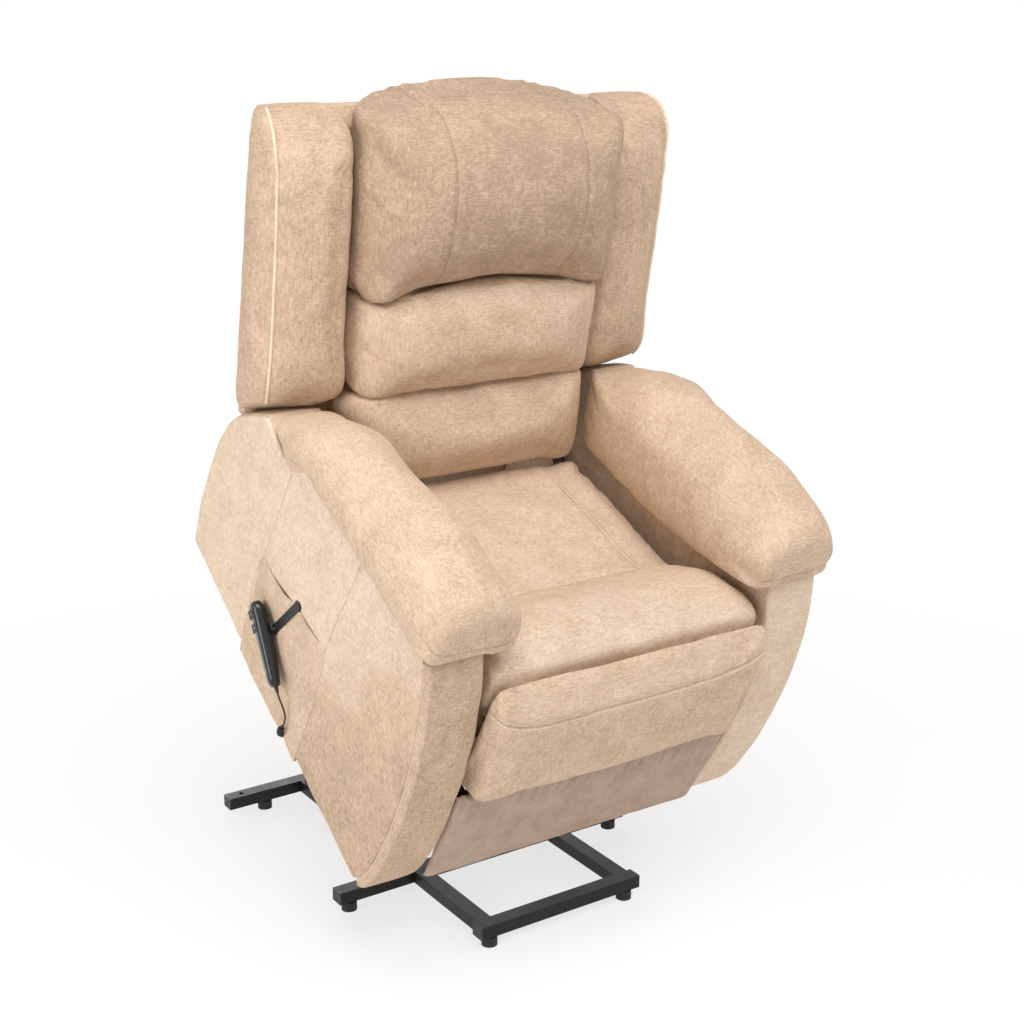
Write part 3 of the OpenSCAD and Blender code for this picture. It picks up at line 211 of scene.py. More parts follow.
def settle(piece):
    # Takes what the modifiers make into the mesh itself
    bpy.context.view_layer.update()
    live = piece.evaluated_get(bpy.context.evaluated_depsgraph_get())
    mesh = bpy.data.meshes.new_from_object(live)
    piece.modifiers.clear()
    piece.data = mesh
    mesh.shade_smooth()


def refine(piece):
    # One subdivision
    finer = piece.modifiers.new("finer", "SUBSURF")
    finer.levels = finer.render_levels = 1
    settle(piece)


def mirrored(piece, name):
    mesh = piece.data.copy()
    setPoints(mesh, surfaceOf(mesh)[0] * [-1, 1, 1])
    mesh.flip_normals()
    twin = bpy.data.objects.new(name, mesh)
    bpy.context.collection.objects.link(twin)
    return twin


def place(piece, matrix, body, material, replaced=()):
    piece.data.transform(matrix)
    piece.data.update()
    piece.data.materials.clear()
    piece.data.materials.append(material)
    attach(piece, body)
    if replaced:
        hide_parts(*replaced)
    return piece


# Materials

def toLinear(hexColour):
    # sRGB hex to linear, with full cover
    parts = [int(hexColour[i:i + 2], 16) / 255 for i in (1, 3, 5)]
    return (*[p / 12.92 if p <= 0.04045 else ((p + 0.055) / 1.055) ** 2.4 for p in parts], 1)


def connect(tree, node, inputs):
    # An input takes a plain value, another node's output, or a node, whose first output is meant
    for key, value in inputs.items():
        if isinstance(value, bpy.types.Node):
            value = value.outputs[0]
        if isinstance(value, bpy.types.NodeSocket):
            tree.links.new(value, node.inputs[key])
        else:
            node.inputs[key].default_value = value


def addNode(tree, kind, inputs=None, **settings):
    node = tree.nodes.new("ShaderNode" + kind)
    for key, value in settings.items():
        setattr(node, key, value)
    connect(tree, node, inputs or {})
    return node


def calc(tree, operation, *values):
    return addNode(tree, "Math", dict(enumerate(values)), operation=operation)


def product(tree, first, second):
    return calc(tree, "MULTIPLY", first, second)


def total(tree, first, *others):
    for other in others:
        first = calc(tree, "ADD", first, other)
    return first


def remap(tree, value, source, target=(0.0, 1.0), **settings):
    # Takes a value from one range to another, and holds it there
    return addNode(tree, "MapRange", {"Value": value, "From Min": source[0], "From Max": source[1],
                                      "To Min": target[0], "To Max": target[1]}, **settings)


def cloudy(tree, where, size, detail, more=None):
    # Noise with lumps of about size millimetres
    return addNode(tree, "TexNoise", {"Vector": where, "Scale": 1 / (size * mm), "Detail": detail, **(more or {})})


def colourRamp(tree, value, low, high, dark, light, middle=None):
    ramp = addNode(tree, "ValToRGB", {0: value})
    stops = ramp.color_ramp.elements
    stops[0].position, stops[1].position = low, high
    stops[0].color, stops[1].color = toLinear(dark), toLinear(light)
    if middle:
        stops.new((low + high) / 2).color = toLinear(middle)
    return ramp


def startMaterial(name, values):
    material = bpy.data.materials.new(name)
    material.use_nodes = True
    tree = material.node_tree
    shader = next(n for n in tree.nodes if n.type == "BSDF_PRINCIPLED")
    connect(tree, shader, values)
    return material, tree, shader


cloudLevels = (0.3, 0.7)


def clothMaterial(name, cloth):
    # Woven chenille: soft pile threads both ways, so it looks cross-hatched with long slubs, mottled where the
    # pile lies differently, and has a pale sheen at grazing angles
    material, tree, shader = startMaterial(name, {
        "Sheen Weight": cloth["sheen"], "Sheen Roughness": 0.45, "IOR": 1.45, "Specular IOR Level": 0.2,
        "Sheen Tint": toLinear(cloth["light"])})
    coords = addNode(tree, "TexCoord").outputs
    where, facing = [addNode(tree, "VectorRotate", {"Vector": coords[key], "Angle": math.radians(cloth["tip"])},
                             rotation_type="X_AXIS") for key in ("Object", "Normal")]
    squares = addNode(tree, "VectorMath", {0: facing, 1: facing}, operation="MULTIPLY")
    share = addNode(tree, "SeparateXYZ", {0: squares}).outputs
    # A slub runs along one axis; it shows on each face that doesn't point along that axis
    thin, long = 1 / (cloth["thread"] * mm), 1 / (cloth["slub"] * mm)
    slubs = []
    for axis in range(3):
        spread = addNode(tree, "Mapping", {"Vector": where, "Scale": [long if k == axis else thin for k in range(3)]})
        noise = addNode(tree, "TexNoise", {"Vector": spread, "Scale": 1.0, "Detail": 1.5, "Roughness": 0.6})
        slubs.append(product(tree, calc(tree, "SUBTRACT", noise, 0.5), calc(tree, "SUBTRACT", 1.0, share[axis])))
    hatch = total(tree, *slubs)
    patch = cloudy(tree, where, cloth["patch"], 3.0, {"Roughness": 0.6, "Distortion": 0.6})
    fleck = cloudy(tree, where, cloth["fleck"], 2.0)
    patchTone, fleckTone = [remap(tree, noise, cloudLevels, (-strength, strength)) for noise, strength in
                            ((patch, cloth["patchStrength"]), (fleck, cloth["fleckStrength"]))]
    # Painted shading attribute: each piece is made lighter or darker for how much light falls on it. Shade 0.5 is the
    # middle colour.
    paintedShading = addNode(tree, "Attribute", attribute_name="paintedShading").outputs["Fac"]
    shade = total(tree, product(tree, hatch, cloth["hatchStrength"]), patchTone, fleckTone, total(tree, paintedShading, 0.5))
    ramp = colourRamp(tree, shade, 0, 1, cloth["dark"], cloth["light"], cloth["middle"])
    # Seam attribute: distance across in units of seamReach, distance along in metres, and strength
    seam = addNode(tree, "Attribute", attribute_name="seam").outputs["Vector"]
    across, along, strength = addNode(tree, "SeparateXYZ", {0: seam}).outputs
    apart = calc(tree, "ABSOLUTE", across)
    groove = remap(tree, apart, cloth["groove"], (1.0, 0.0), interpolation_type="SMOOTHSTEP")
    cut = product(tree, groove, calc(tree, "MINIMUM", strength, 1.0))
    offRow = calc(tree, "ABSOLUTE", calc(tree, "SUBTRACT", apart, cloth["stitchRow"]))
    row = remap(tree, offRow, cloth["stitchWidth"], (1.0, 0.0))
    # Stitches with short gaps, only where the seam is topstitched (strength 2)
    wave = calc(tree, "SINE", product(tree, along, 2 * math.pi / (cloth["stitchLength"] * mm)))
    dash, topstitched = remap(tree, wave, cloth["stitchGap"]), remap(tree, strength, (1.3, 1.8))
    stitch = product(tree, product(tree, row, dash), topstitched)
    # Painted shade: along a seam's groove the colour is darkened towards the seam colour
    grooveShaded = addNode(tree, "MixRGB", {0: product(tree, cut, cloth["seamShade"]), 1: ramp, 2: toLinear(cloth["seam"])})
    sewn = addNode(tree, "MixRGB", {0: stitch, 1: grooveShaded, 2: toLinear(cloth["stitch"])})
    height = total(tree, product(tree, calc(tree, "SUBTRACT", stitch, cut), 0.8), hatch)
    bump = addNode(tree, "Bump", {"Height": height, "Strength": 0.8, "Distance": cloth["relief"] * mm})
    rough = remap(tree, shade, (0.0, 1.0), cloth["rough"])
    connect(tree, shader, {"Base Color": sewn, "Roughness": rough, "Normal": bump})
    return material


# Thread spacing is about 1 mm on the real cloth; it is drawn at 2.2 mm so that it shows at this size
# The seam colour and seamShade paint the shade in a seam's groove
chenille = {"tip": -30, "thread": 2.2, "slub": 15, "patch": 60, "fleck": 8, "hatchStrength": 0.85,
            "patchStrength": 0.12, "fleckStrength": 0.08, "light": "#E4D1BC", "middle": "#CCB299", "dark": "#A48C76",
            "seam": "#7A6350", "stitch": "#E4D3BE", "sheen": 0.12, "relief": 0.6, "rough": (0.95, 0.78),
            "groove": (0.02, 0.085), "seamShade": 0.35, "stitchRow": 0.21, "stitchWidth": (0.02, 0.05),
            "stitchLength": 4, "stitchGap": (-0.6, -0.2)}
chairCloth = clothMaterial("wovenChenille", chenille)
backCloth = clothMaterial("wovenChenilleOnBack", {**chenille, "tip": -12.3})
pipingCloth = clothMaterial("chenillePiping", {**chenille, "light": "#EEDFC9", "middle": "#DFCAAE", "dark": "#BFA78C"})
# The skirt's cloth is smoother and greyer, with short pile and hardly any weave. Its colours are also darker, painted
# shade for a panel that faces down and forward.
shadedSkirtCloth = clothMaterial("suedeClothShaded", {**chenille, "light": "#C2AE9F", "middle": "#B29D8E", "dark": "#97826F",
                                          "hatchStrength": 0.35, "patchStrength": 0.2, "relief": 0.3})


def plainMaterial(name, look):
    # Solid finishes: a base colour that varies a little, roughness that varies with it, and fine relief
    material, tree, shader = startMaterial(name, {"Metallic": look.get("metallic", 0.0), "IOR": 1.5,
                                                  "Specular IOR Level": look.get("specular", 0.5)})
    coords = addNode(tree, "TexCoord").outputs
    where = addNode(tree, "Mapping", {"Vector": coords["Object"], "Scale": look.get("stretch", (1, 1, 1))})
    cloud, grit = cloudy(tree, where, look["cloud"], 4.0, {"Roughness": 0.6}), cloudy(tree, where, look["grit"], 2.0)
    ramp = colourRamp(tree, cloud, 0.35, 0.65, look["dark"], look["light"])
    bump = addNode(tree, "Bump", {"Height": grit, "Strength": look["relief"], "Distance": 0.2 * mm})
    rough = remap(tree, cloud, cloudLevels, look["rough"])
    connect(tree, shader, {"Base Color": ramp, "Roughness": rough, "Normal": bump})
    return material


# Finishes with the CAD nodes that take them; cloud and grit are the sizes of the shade's and the relief's lumps
looks = {
    # Satin black with faint orange peel
    "powderCoat": {"dark": "#0E0E0E", "light": "#191919", "cloud": 60, "grit": 1.2, "rough": (0.38, 0.5),
                   "relief": 0.25, "specular": 0.28,
                   "nodes": "base_rear_bar base_middle_bar base_front_bar base_rails base_link_brackets "
                            "lift_motor_clevis lift_arm_left lift_arm_right lift_arm_tube front_links frame_rails "
                            "frame_cross_tubes frame_link_brackets mechanism_plates back_brackets legrest_drive "
                            "legrest_rear_rockers legrest_carriers legrest_control_links legrest_brackets tail_link"},
    # Bright grey steel, slightly cloudy
    "zincPlate": {"dark": "#9EA1A3", "light": "#C9CCCE", "cloud": 12, "grit": 0.6, "rough": (0.28, 0.42),
                  "relief": 0.15, "metallic": 1.0, "nodes": "base_pivot_bolts frame_pivot_bolts"},
    # Nearly a mirror
    "chromeRod": {"dark": "#C4C6C8", "light": "#DADCDD", "cloud": 30, "grit": 0.4, "rough": (0.08, 0.14),
                  "relief": 0.03, "metallic": 1.0, "nodes": "lift_motor_rod recline_motor_rod"},
    # Dark drawn steel, oiled
    "springWire": {"dark": "#3A3B3C", "light": "#606264", "cloud": 15, "grit": 0.5, "rough": (0.35, 0.5),
                   "relief": 0.1, "metallic": 1.0, "nodes": "seat_springs"},
    # Pale with long brown grain
    "beechPlywood": {"dark": "#B98F5F", "light": "#DDBB8C", "cloud": 14, "grit": 1.5, "rough": (0.6, 0.75),
                     "relief": 0.3, "stretch": (0.08, 1, 1),
                     "nodes": "seat_frame arm_box_left arm_box_right back_frame legrest_board"},
    # Caps, motors and box: fine spark-eroded texture
    "mouldedAbs": {"dark": "#151516", "light": "#1F1F21", "cloud": 40, "grit": 0.5, "rough": (0.42, 0.55),
                   "relief": 0.3, "nodes": "tube_end_caps lift_motor recline_motor control_box handset_hook"},
    "glossAbs": {"dark": "#0E0F11", "light": "#17181B", "cloud": 45, "grit": 2.5, "rough": (0.14, 0.22),
                 "relief": 0.02},
    "siliconeKey": {"dark": "#2B2C2E", "light": "#38393C", "cloud": 8, "grit": 0.4, "rough": (0.5, 0.6),
                    "relief": 0.15, "nodes": "button_lift_up button_lift_down button_recline button_upright"},
    "paleMark": {"dark": "#B9BCC0", "light": "#D8DBDE", "cloud": 5, "grit": 0.5, "rough": (0.35, 0.45),
                 "relief": 0.05},
    "rubberFoot": {"dark": "#101010", "light": "#1B1B1B", "cloud": 20, "grit": 0.8, "rough": (0.6, 0.75),
                   "relief": 0.3, "nodes": "feet"},
    "cordSheath": {"dark": "#0F0F10", "light": "#1A1A1C", "cloud": 15, "grit": 0.6, "rough": (0.4, 0.52),
                   "relief": 0.1},
}
finishes = {name: plainMaterial(name, look) for name, look in looks.items()}
for name, look in looks.items():
    for node in look.get("nodes", "").split():
        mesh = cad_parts[node].data
        mesh.materials.clear()
        mesh.materials.append(finishes[name])
print("materials made")

# Handset cord: route points from the part's source, then curls round it between two shares of its length
cord = {
    "route": [[-429.5, 353.3, 125.7], [-429.5, 350, 123.6], [-427, 341, 115], [-422, 331, 101], [-419, 325, 88],
              [-418, 323, 76], [-418, 324, 62], [-419, 327, 46], [-413, 331, 29], [-398, 334, 18], [-376, 337, 14],
              [-350, 341, 14], [-320, 346, 17], [-295, 354, 24], [-276, 368, 38], [-263, 386, 60], [-255, 398, 76],
              [-250, 400, 80], [-245.5, 400, 80]],
    "curly": (0.24, 0.7), "curls": 28, "curlWidth": 12, "width": 3.5, "stepsPerCurl": 18, "sides": 10, "plainSteps": 46,
}


def unitRows(rows):
    return rows / np.linalg.norm(rows, axis=-1, keepdims=True)


def tubeRings(path, radius, sides):
    # Circles across a path; each keeps the last one's up direction, made square to the path again
    ahead = unitRows(np.gradient(path, axis=0))
    up = np.empty_like(path)
    last = np.cross(ahead[0], [0.3, 0.5, 0.8])
    for i, direction in enumerate(ahead):
        last = last - direction * (last @ direction)
        last = last / np.linalg.norm(last)
        up[i] = last
    side = np.cross(ahead, up)
    turn = 2 * np.pi * np.arange(sides) / sides
    ring = np.cos(turn)[None, :, None] * up[:, None] + np.sin(turn)[None, :, None] * side[:, None]
    return path[:, None] + np.broadcast_to(np.asarray(radius, float).reshape(-1, 1, 1), (len(path), 1, 1)) * ring


def cordPath(c):
    # Centre line along the route, plus a circle that turns once for each curl and fades out at both ends
    route = smoothRow(c["route"], (len(c["route"]) - 1) * 10 + 1)
    gone = np.concatenate([[0], np.cumsum(np.linalg.norm(np.diff(route, axis=0), axis=1))])
    total = gone[-1]
    low, high = c["curly"][0] * total, c["curly"][1] * total
    stops = np.concatenate([np.linspace(0, low, c["plainSteps"]),
                            np.linspace(low, high, c["curls"] * c["stepsPerCurl"] + 1)[1:],
                            np.linspace(high, total, c["plainSteps"])[1:]])

    def centre(s):
        return np.stack([np.interp(s, gone, route[:, k]) for k in range(3)], -1)

    ahead = unitRows(centre(np.minimum(total, stops + 1)) - centre(np.maximum(0, stops - 1)))
    first = unitRows(np.cross(ahead, [0, 1, 0]))
    second = np.cross(ahead, first)
    turn = 2 * np.pi * c["curls"] * np.clip((stops - low) / (high - low), 0, 1)[:, None]
    pitch = (high - low) / c["curls"]
    reach = (c["curlWidth"] - c["width"]) / 2 * np.clip(np.minimum(stops - low, high - stops) / pitch, 0, 1)[:, None]
    return centre(stops) + reach * (first * np.cos(turn) + second * np.sin(turn))


cordLine = cordPath(cord)
handsetCord = addPiece("handsetCord", *loft(tubeRings(cordLine, cord["width"] / 2, cord["sides"])))
place(handsetCord, inChair, "chair", finishes["cordSheath"], ["handset_cord"])

# Cushion forms. They follow the part's solids, a little fuller at the seat's nose, the legrest pad and the creases.
# Shares from -1 to 1 across the chair, closer together at both ends
acrossChair = np.sin(np.linspace(-math.pi / 2, math.pi / 2, 61))[:, None]
seat = {
    "halfWidth": 274, "frontY": -3.5, "depth": 588, "frontZ": 516, "thick": 225, "floorZ": 285.5,
    "crown": 12, "edge": 0.12, "wider": 15, "widerFrom": (425, 452),
    "profile": [[1, 0.28], [0.985, 0.4], [0.94, 0.437], [0.8, 0.477], [0.65, 0.527], [0.5, 0.573],
                [0.4, 0.618], [0.355, 0.667], [0.31, 0.76], [0.245, 0.889], [0.17, 0.975], [0.1, 1.022],
                [0.05, 1.022], [0.018, 0.995], [0.003, 0.94], [0, 0.86], [0.001, 0.74], [0.006, 0.62],
                [0.012, 0.511], [0.03, 0.467], [0.036, 0.233], [0.04, 0.04], [0.07, 0], [0.5, 0],
                [0.94, 0], [0.985, 0.053], [1, 0.167]],
    "seamX": 171, "seamY": 209, "stripDrop": 6,
}


def seatRings(s=seat):
    # Profile of back and height shares, carried across the chair and drawn in at both ends
    shares = smoothRow(s["profile"], 150, closed=True)
    t = acrossChair
    y, z = s["frontY"] + shares[:, 0] * s["depth"], s["frontZ"] - s["thick"] * (1 - shares[:, 1])
    up, end = np.clip((shares[:, 1] - 0.35) * 4, 0, 1), filledOut((1 - np.abs(t)) / s["edge"])
    midY, midZ = s["frontY"] + s["depth"] / 2, s["frontZ"] - s["thick"] / 2
    crown = s["crown"] * up * (np.cos(t * math.pi / 2) - 0.3) * np.sin(math.pi * np.clip(shares[:, 0], 0, 1))
    ringY = midY + (y - midY) * (0.97 + 0.03 * end)
    ringZ = np.maximum(s["floorZ"], midZ + (z - midZ) * (0.9 + 0.1 * end) + crown)
    # Above the links the cushion fills the room between the arms
    return layered(t * (s["halfWidth"] + s["wider"] * smoothStep(ringZ, *s["widerFrom"])), ringY, ringZ)


back = {"halfWidth": 258, "depth": 250, "rear": 33.75, "corner": 3.6, "fade": 0.8}
headRest = {"low": 264.4, "high": 585, "archLow": 33, "archHigh": 30, "heel": 0,
            "shares": [[0, 0.88, 0.99], [0.04, 0.93, 1], [0.12, 1, 1], [0.26, 1.065, 1], [0.42, 1.095, 1],
                       [0.56, 1.095, 1], [0.74, 1.035, 1], [0.86, 0.95, 0.998], [0.94, 0.86, 0.99],
                       [0.98, 0.76, 0.975], [1, 0.6, 0.94]]}
midRest = {"low": 85.4, "high": 264, "archLow": 0, "archHigh": 33, "heel": 0,
           "shares": [[0, 0.88, 0.99], [0.06, 0.92, 1], [0.2, 0.97, 1], [0.5, 0.99, 1], [0.8, 0.96, 1],
                      [0.94, 0.915, 1], [1, 0.875, 0.99]]}
lumbar = {"low": -110, "high": 85, "archLow": 0, "archHigh": 0, "heel": 26,
          "shares": [[0, 0.72, 0.95], [0.03, 0.8, 0.985], [0.1, 0.88, 1], [0.3, 0.97, 1], [0.55, 1, 1],
                     [0.8, 0.97, 1], [0.93, 0.92, 1], [1, 0.875, 0.99]]}


def backRings(c, b=back):
    # Superellipses of depth and width up the back, whose ends rise in an arch
    shares = smoothRow(c["shares"], 64)[:, None, :]
    half, rear = b["halfWidth"] * shares[..., 2], b["rear"] + c["heel"] * (1 - shares[..., 0]) ** 3
    wide, deep = roundBox([-half, rear], [half, shares[..., 1] * b["depth"]], b["corner"], 112)
    # The creases between the cushions fade out towards the sides
    fade = b["fade"] * smoothStep(np.abs(wide) / half, 0.62, 0.97) * (deep > rear)
    deep = rear + (deep - rear) * (1 + (shares[..., 1].max() / shares[..., 1] - 1) * fade)
    rise = 1 - (wide / half) ** 2
    low, high = c["low"] + c["archLow"] * rise, c["high"] + c["archHigh"] * rise
    return layered(wide, -deep, low + shares[..., 0] * (high - low))


wing = {"inner": 263.5, "outer": 425, "height": 580, "depth": 176, "slant": 80, "corner": 5, "count": 80,
        "innerShare": 0.125,
        "shares": [[0, 0.9, 0.86], [0.02, 0.98, 0.94], [0.08, 1.03, 1], [0.3, 1.01, 1], [0.58, 0.975, 1],
                   [0.74, 0.935, 1], [0.87, 0.87, 0.99], [0.94, 0.77, 0.97], [0.985, 0.6, 0.91], [1, 0.4, 0.8]]}


def wingRings(w=wing, b=back):
    # Superellipses up the wing, deeper at the inner edge, above a slanted lower end
    shares = smoothRow(w["shares"], 72)[:, None, :]
    mid, half = (w["inner"] + w["outer"]) / 2, (w["outer"] - w["inner"]) / 2 * shares[..., 2]
    wide, deep = roundBox([mid - half, b["rear"]], [mid + half, shares[..., 1] * w["depth"]], w["corner"], w["count"])
    low = np.maximum(0, deep / w["depth"]) * w["slant"]
    deeper = b["rear"] + (deep - b["rear"]) * (1 + w["innerShare"] * (mid - wide) / half)
    return layered(wide, -deeper, low + shares[..., 0] * (w["height"] - low))


armPad = {
    "depth": 787, "topZ": 697, "halfWidth": 92, "middleX": 336, "wallX": 301.5, "tuck": 0.8, "tuckFrom": (60, 150),
    "stations": [[0.02, 0.835, 0.835, 0.9, -0.6, 0.62], [0.026, 0.815, 0.812, 0.935, -0.88, 0.86],
                 [0.052, 0.8075, 0.79, 0.968, -1, 0.95], [0.1, 0.7975, 0.765, 0.986, -1.01, 0.98],
                 [0.17, 0.792, 0.733, 0.996, -1, 1], [0.265, 0.791, 0.694, 1, -0.98, 1.01],
                 [0.38, 0.7905, 0.66, 0.976, -0.93, 1.01], [0.5, 0.7905, 0.634, 0.951, -0.86, 1.01],
                 [0.6, 0.7905, 0.61, 0.932, -0.8, 1], [0.675, 0.727, 0.594, 0.893, -0.77, 0.98],
                 [0.725, 0.748, 0.592, 0.851, -0.75, 0.93], [0.77, 0.764, 0.66, 0.814, -0.68, 0.85],
                 [0.803, 0.772, 0.768, 0.784, -0.5, 0.62]],
    "outerShares": [[0.93, 0.02], [1, 0.3], [0.98, 0.56], [0.8, 0.83], [0.5, 0.97]],
    "innerShares": [[-0.2, 0.985], [-0.62, 0.88], [-0.9, 0.66], [-1, 0.4]],
}


def padRings(a=armPad):
    # Rings across the pillow at stations along it; each is a smooth loop through sixteen points.
    # Behind its front end the pillow's lower outer edge is tucked in over the side panel.
    rings = []
    for s in smoothRow(a["stations"], 90):
        y, zb, zi, zt = s[0] * a["depth"], s[1] * a["topZ"], s[2] * a["topZ"], s[3] * a["topZ"]
        xi, xo, x = s[4] * a["halfWidth"], s[5] * a["halfWidth"], a["middleX"]
        wall, h, tucked = a["wallX"] - x, zt - zb, float(smoothStep(y, *a["tuckFrom"]))
        low = 1 - (1 - a["tuck"] / a["outerShares"][0][0]) * tucked
        loop = [[x + wall, y, zb], [x + xo * 0.4, y, zb]]
        loop += [[x + q[0] * xo * (low if k == 0 else 1 - (1 - low) * 0.25 * (k == 1)), y, zb + q[1] * h]
                 for k, q in enumerate(a["outerShares"])]
        loop += [[x + xo * 0.15, y, zt]]
        loop += [[x - q[0] * xi, y, zb + q[1] * h] for q in a["innerShares"]]
        loop += [[x + xi * 0.97, y, (zi + zb) / 2], [x + xi * 0.86, y, zi + (zt - zi) * 0.04],
                 [x + (xi + wall) / 2, y, zi], [x + wall, y, zi + (zt - zi) * 0.02]]
        rings.append(smoothRow(loop, 96, closed=True))
    return np.array(rings)


legPad = {"halfWidth": 288, "rearY": -5.5, "thick": 71, "crown": 7, "low": 256, "height": 252, "edge": 0.1,
          "profile": [[0, 0.05], [0, 0.3], [0, 0.7], [0, 0.88], [0.02, 0.97], [0.12, 1], [0.29, 0.99], [0.45, 0.955],
                      [0.57, 0.91], [0.74, 0.806], [0.83, 0.68], [0.894, 0.535], [0.965, 0.28], [0.995, 0.12],
                      [0.985, 0.04], [0.9, 0.005], [0.6, 0], [0.1, 0]]}


def legPadRings(p=legPad):
    # Profile of thickness and height shares, carried across the chair, thinner towards both ends
    shares = smoothRow(p["profile"], 110, closed=True)
    t = acrossChair
    draw = (1 - filledOut((1 - np.abs(t)) / p["edge"])) * p["thick"] / 5
    thick = p["thick"] - p["crown"] * (1 - np.cos(np.radians(60) * t)) * 2 - draw
    y = p["rearY"] - shares[:, 0] * thick
    z = p["low"] + draw + shares[:, 1] * (p["height"] - 2 * draw)
    return layered(t * p["halfWidth"], y, z)


# A seam's line lies in two of a piece's own axes, and shows where the surface looks towards "faces". Depth and width
# are those of the groove, puff is the swell beside it, pucker and pitch the height and length of the cross folds,
# steps the number of points on its line. Strength 0 is a fold, 1 a seam and 2 a topstitched seam.
plainSeam = {"depth": 1.6, "width": 3.4, "puff": 1.1, "pucker": 0.25, "pitch": 19, "strength": 1, "steps": 14}
# Width that the seam attribute covers, shift of the folds from one seam to the next, and how far off a seam is put
# where the surface looks away from it
seamReach, seamShift, hidden = 20, 61, 1000


def seamsOn(axes, faces, *lines, **values):
    return [{**plainSeam, **values, "axes": axes, "faces": faces, "line": line} for line in lines]


def seamLines(points, normals, seams):
    # For each point the nearest seam: distance to it, side, place along it, and its values
    best = np.full(len(points), 1e6)
    found = {k: np.zeros(len(points)) for k in ("side", "along", *plainSeam)}
    found["width"][:] = found["pitch"][:] = 1
    for number, seam in enumerate(seams):
        flat, line = points[:, seam["axes"]], smoothRow(seam["line"], seam["steps"])
        shown = np.clip((normals @ np.asarray(seam["faces"], float)) * 4, 0, 1)
        start = seamShift * number
        for a, b in zip(line[:-1], line[1:]):
            step = b - a
            length = max(1e-6, float(np.hypot(*step)))
            share = np.clip(((flat - a) @ step) / length**2, 0, 1)
            off = flat - (a + share[:, None] * step)
            apart = np.hypot(off[:, 0], off[:, 1]) + (1 - shown) * hidden
            near = apart < best
            best[near] = apart[near]
            found["side"][near] = np.sign(step[0] * off[near, 1] - step[1] * off[near, 0])
            found["along"][near] = start + share[near] * length
            for key in plainSeam:
                found[key][near] = seam[key]
            start += length
    return best, found


def waves(points, height, size, seed):
    # Sum of nine sine waves in seeded directions, of lengths round size
    rng = np.random.default_rng(seed)
    heights = np.zeros(len(points))
    for _ in range(9):
        direction = rng.normal(size=3)
        direction /= np.linalg.norm(direction)
        heights += np.sin(points @ direction * 2 * np.pi / (size * rng.uniform(0.6, 1.7)) + rng.uniform(0, 6.3))
    return heights * height / 3


def sew(mesh, seams=(), ripple=None, paintedShading=0.0):
    # Presses grooves along the seams, swells beside them and cross folds that fade out from them, adds waves of
    # height, size and seed, and writes the two attributes that the cloth material reads: seams and painted shading
    points, normals = surfaceOf(mesh)
    move, marks = np.zeros(len(points)), np.zeros((len(points), 3))
    if seams:
        apart, f = seamLines(points, normals, seams)
        away = apart / (4 * f["width"])
        move -= f["depth"] * valley(apart, 0, f["width"])
        move += f["puff"] * away**2 * np.exp(1 - away**2) * (apart < hidden * 0.4)
        folds = np.sin(2 * np.pi * f["along"] / f["pitch"] + 2.2 * np.sin(f["along"] / 37))
        folds *= 0.65 + 0.35 * np.sin(f["along"] / 53)
        move += f["pucker"] * folds * valley(apart, 0, 4 * f["width"])
        marks[:, 0] = np.clip(apart / seamReach, 0, 1) * f["side"]
        marks[:, 1] = f["along"] * mm
        marks[:, 2] = f["strength"] * (apart < seamReach / 2)
    if ripple:
        move += waves(points, *ripple)
    setPoints(mesh, points + normals * move[:, None])
    for name, kind, key, values in (("seam", "FLOAT_VECTOR", "vector", marks),
                                    ("paintedShading", "FLOAT", "value", move * 0 + paintedShading)):
        mesh.attributes.new(name, kind, "POINT").data.foreach_set(key, values.ravel().astype(np.float32))


# Stuffed pieces. "held" gives from the normals how firmly each point is held while the cover swells.
def heldBehind(normals):
    return np.clip(normals[:, 1] * 3 - 0.6, 0, 1)


def heldBelow(normals):
    return np.clip(-normals[:, 2] * 3 - 0.6, 0, 1)


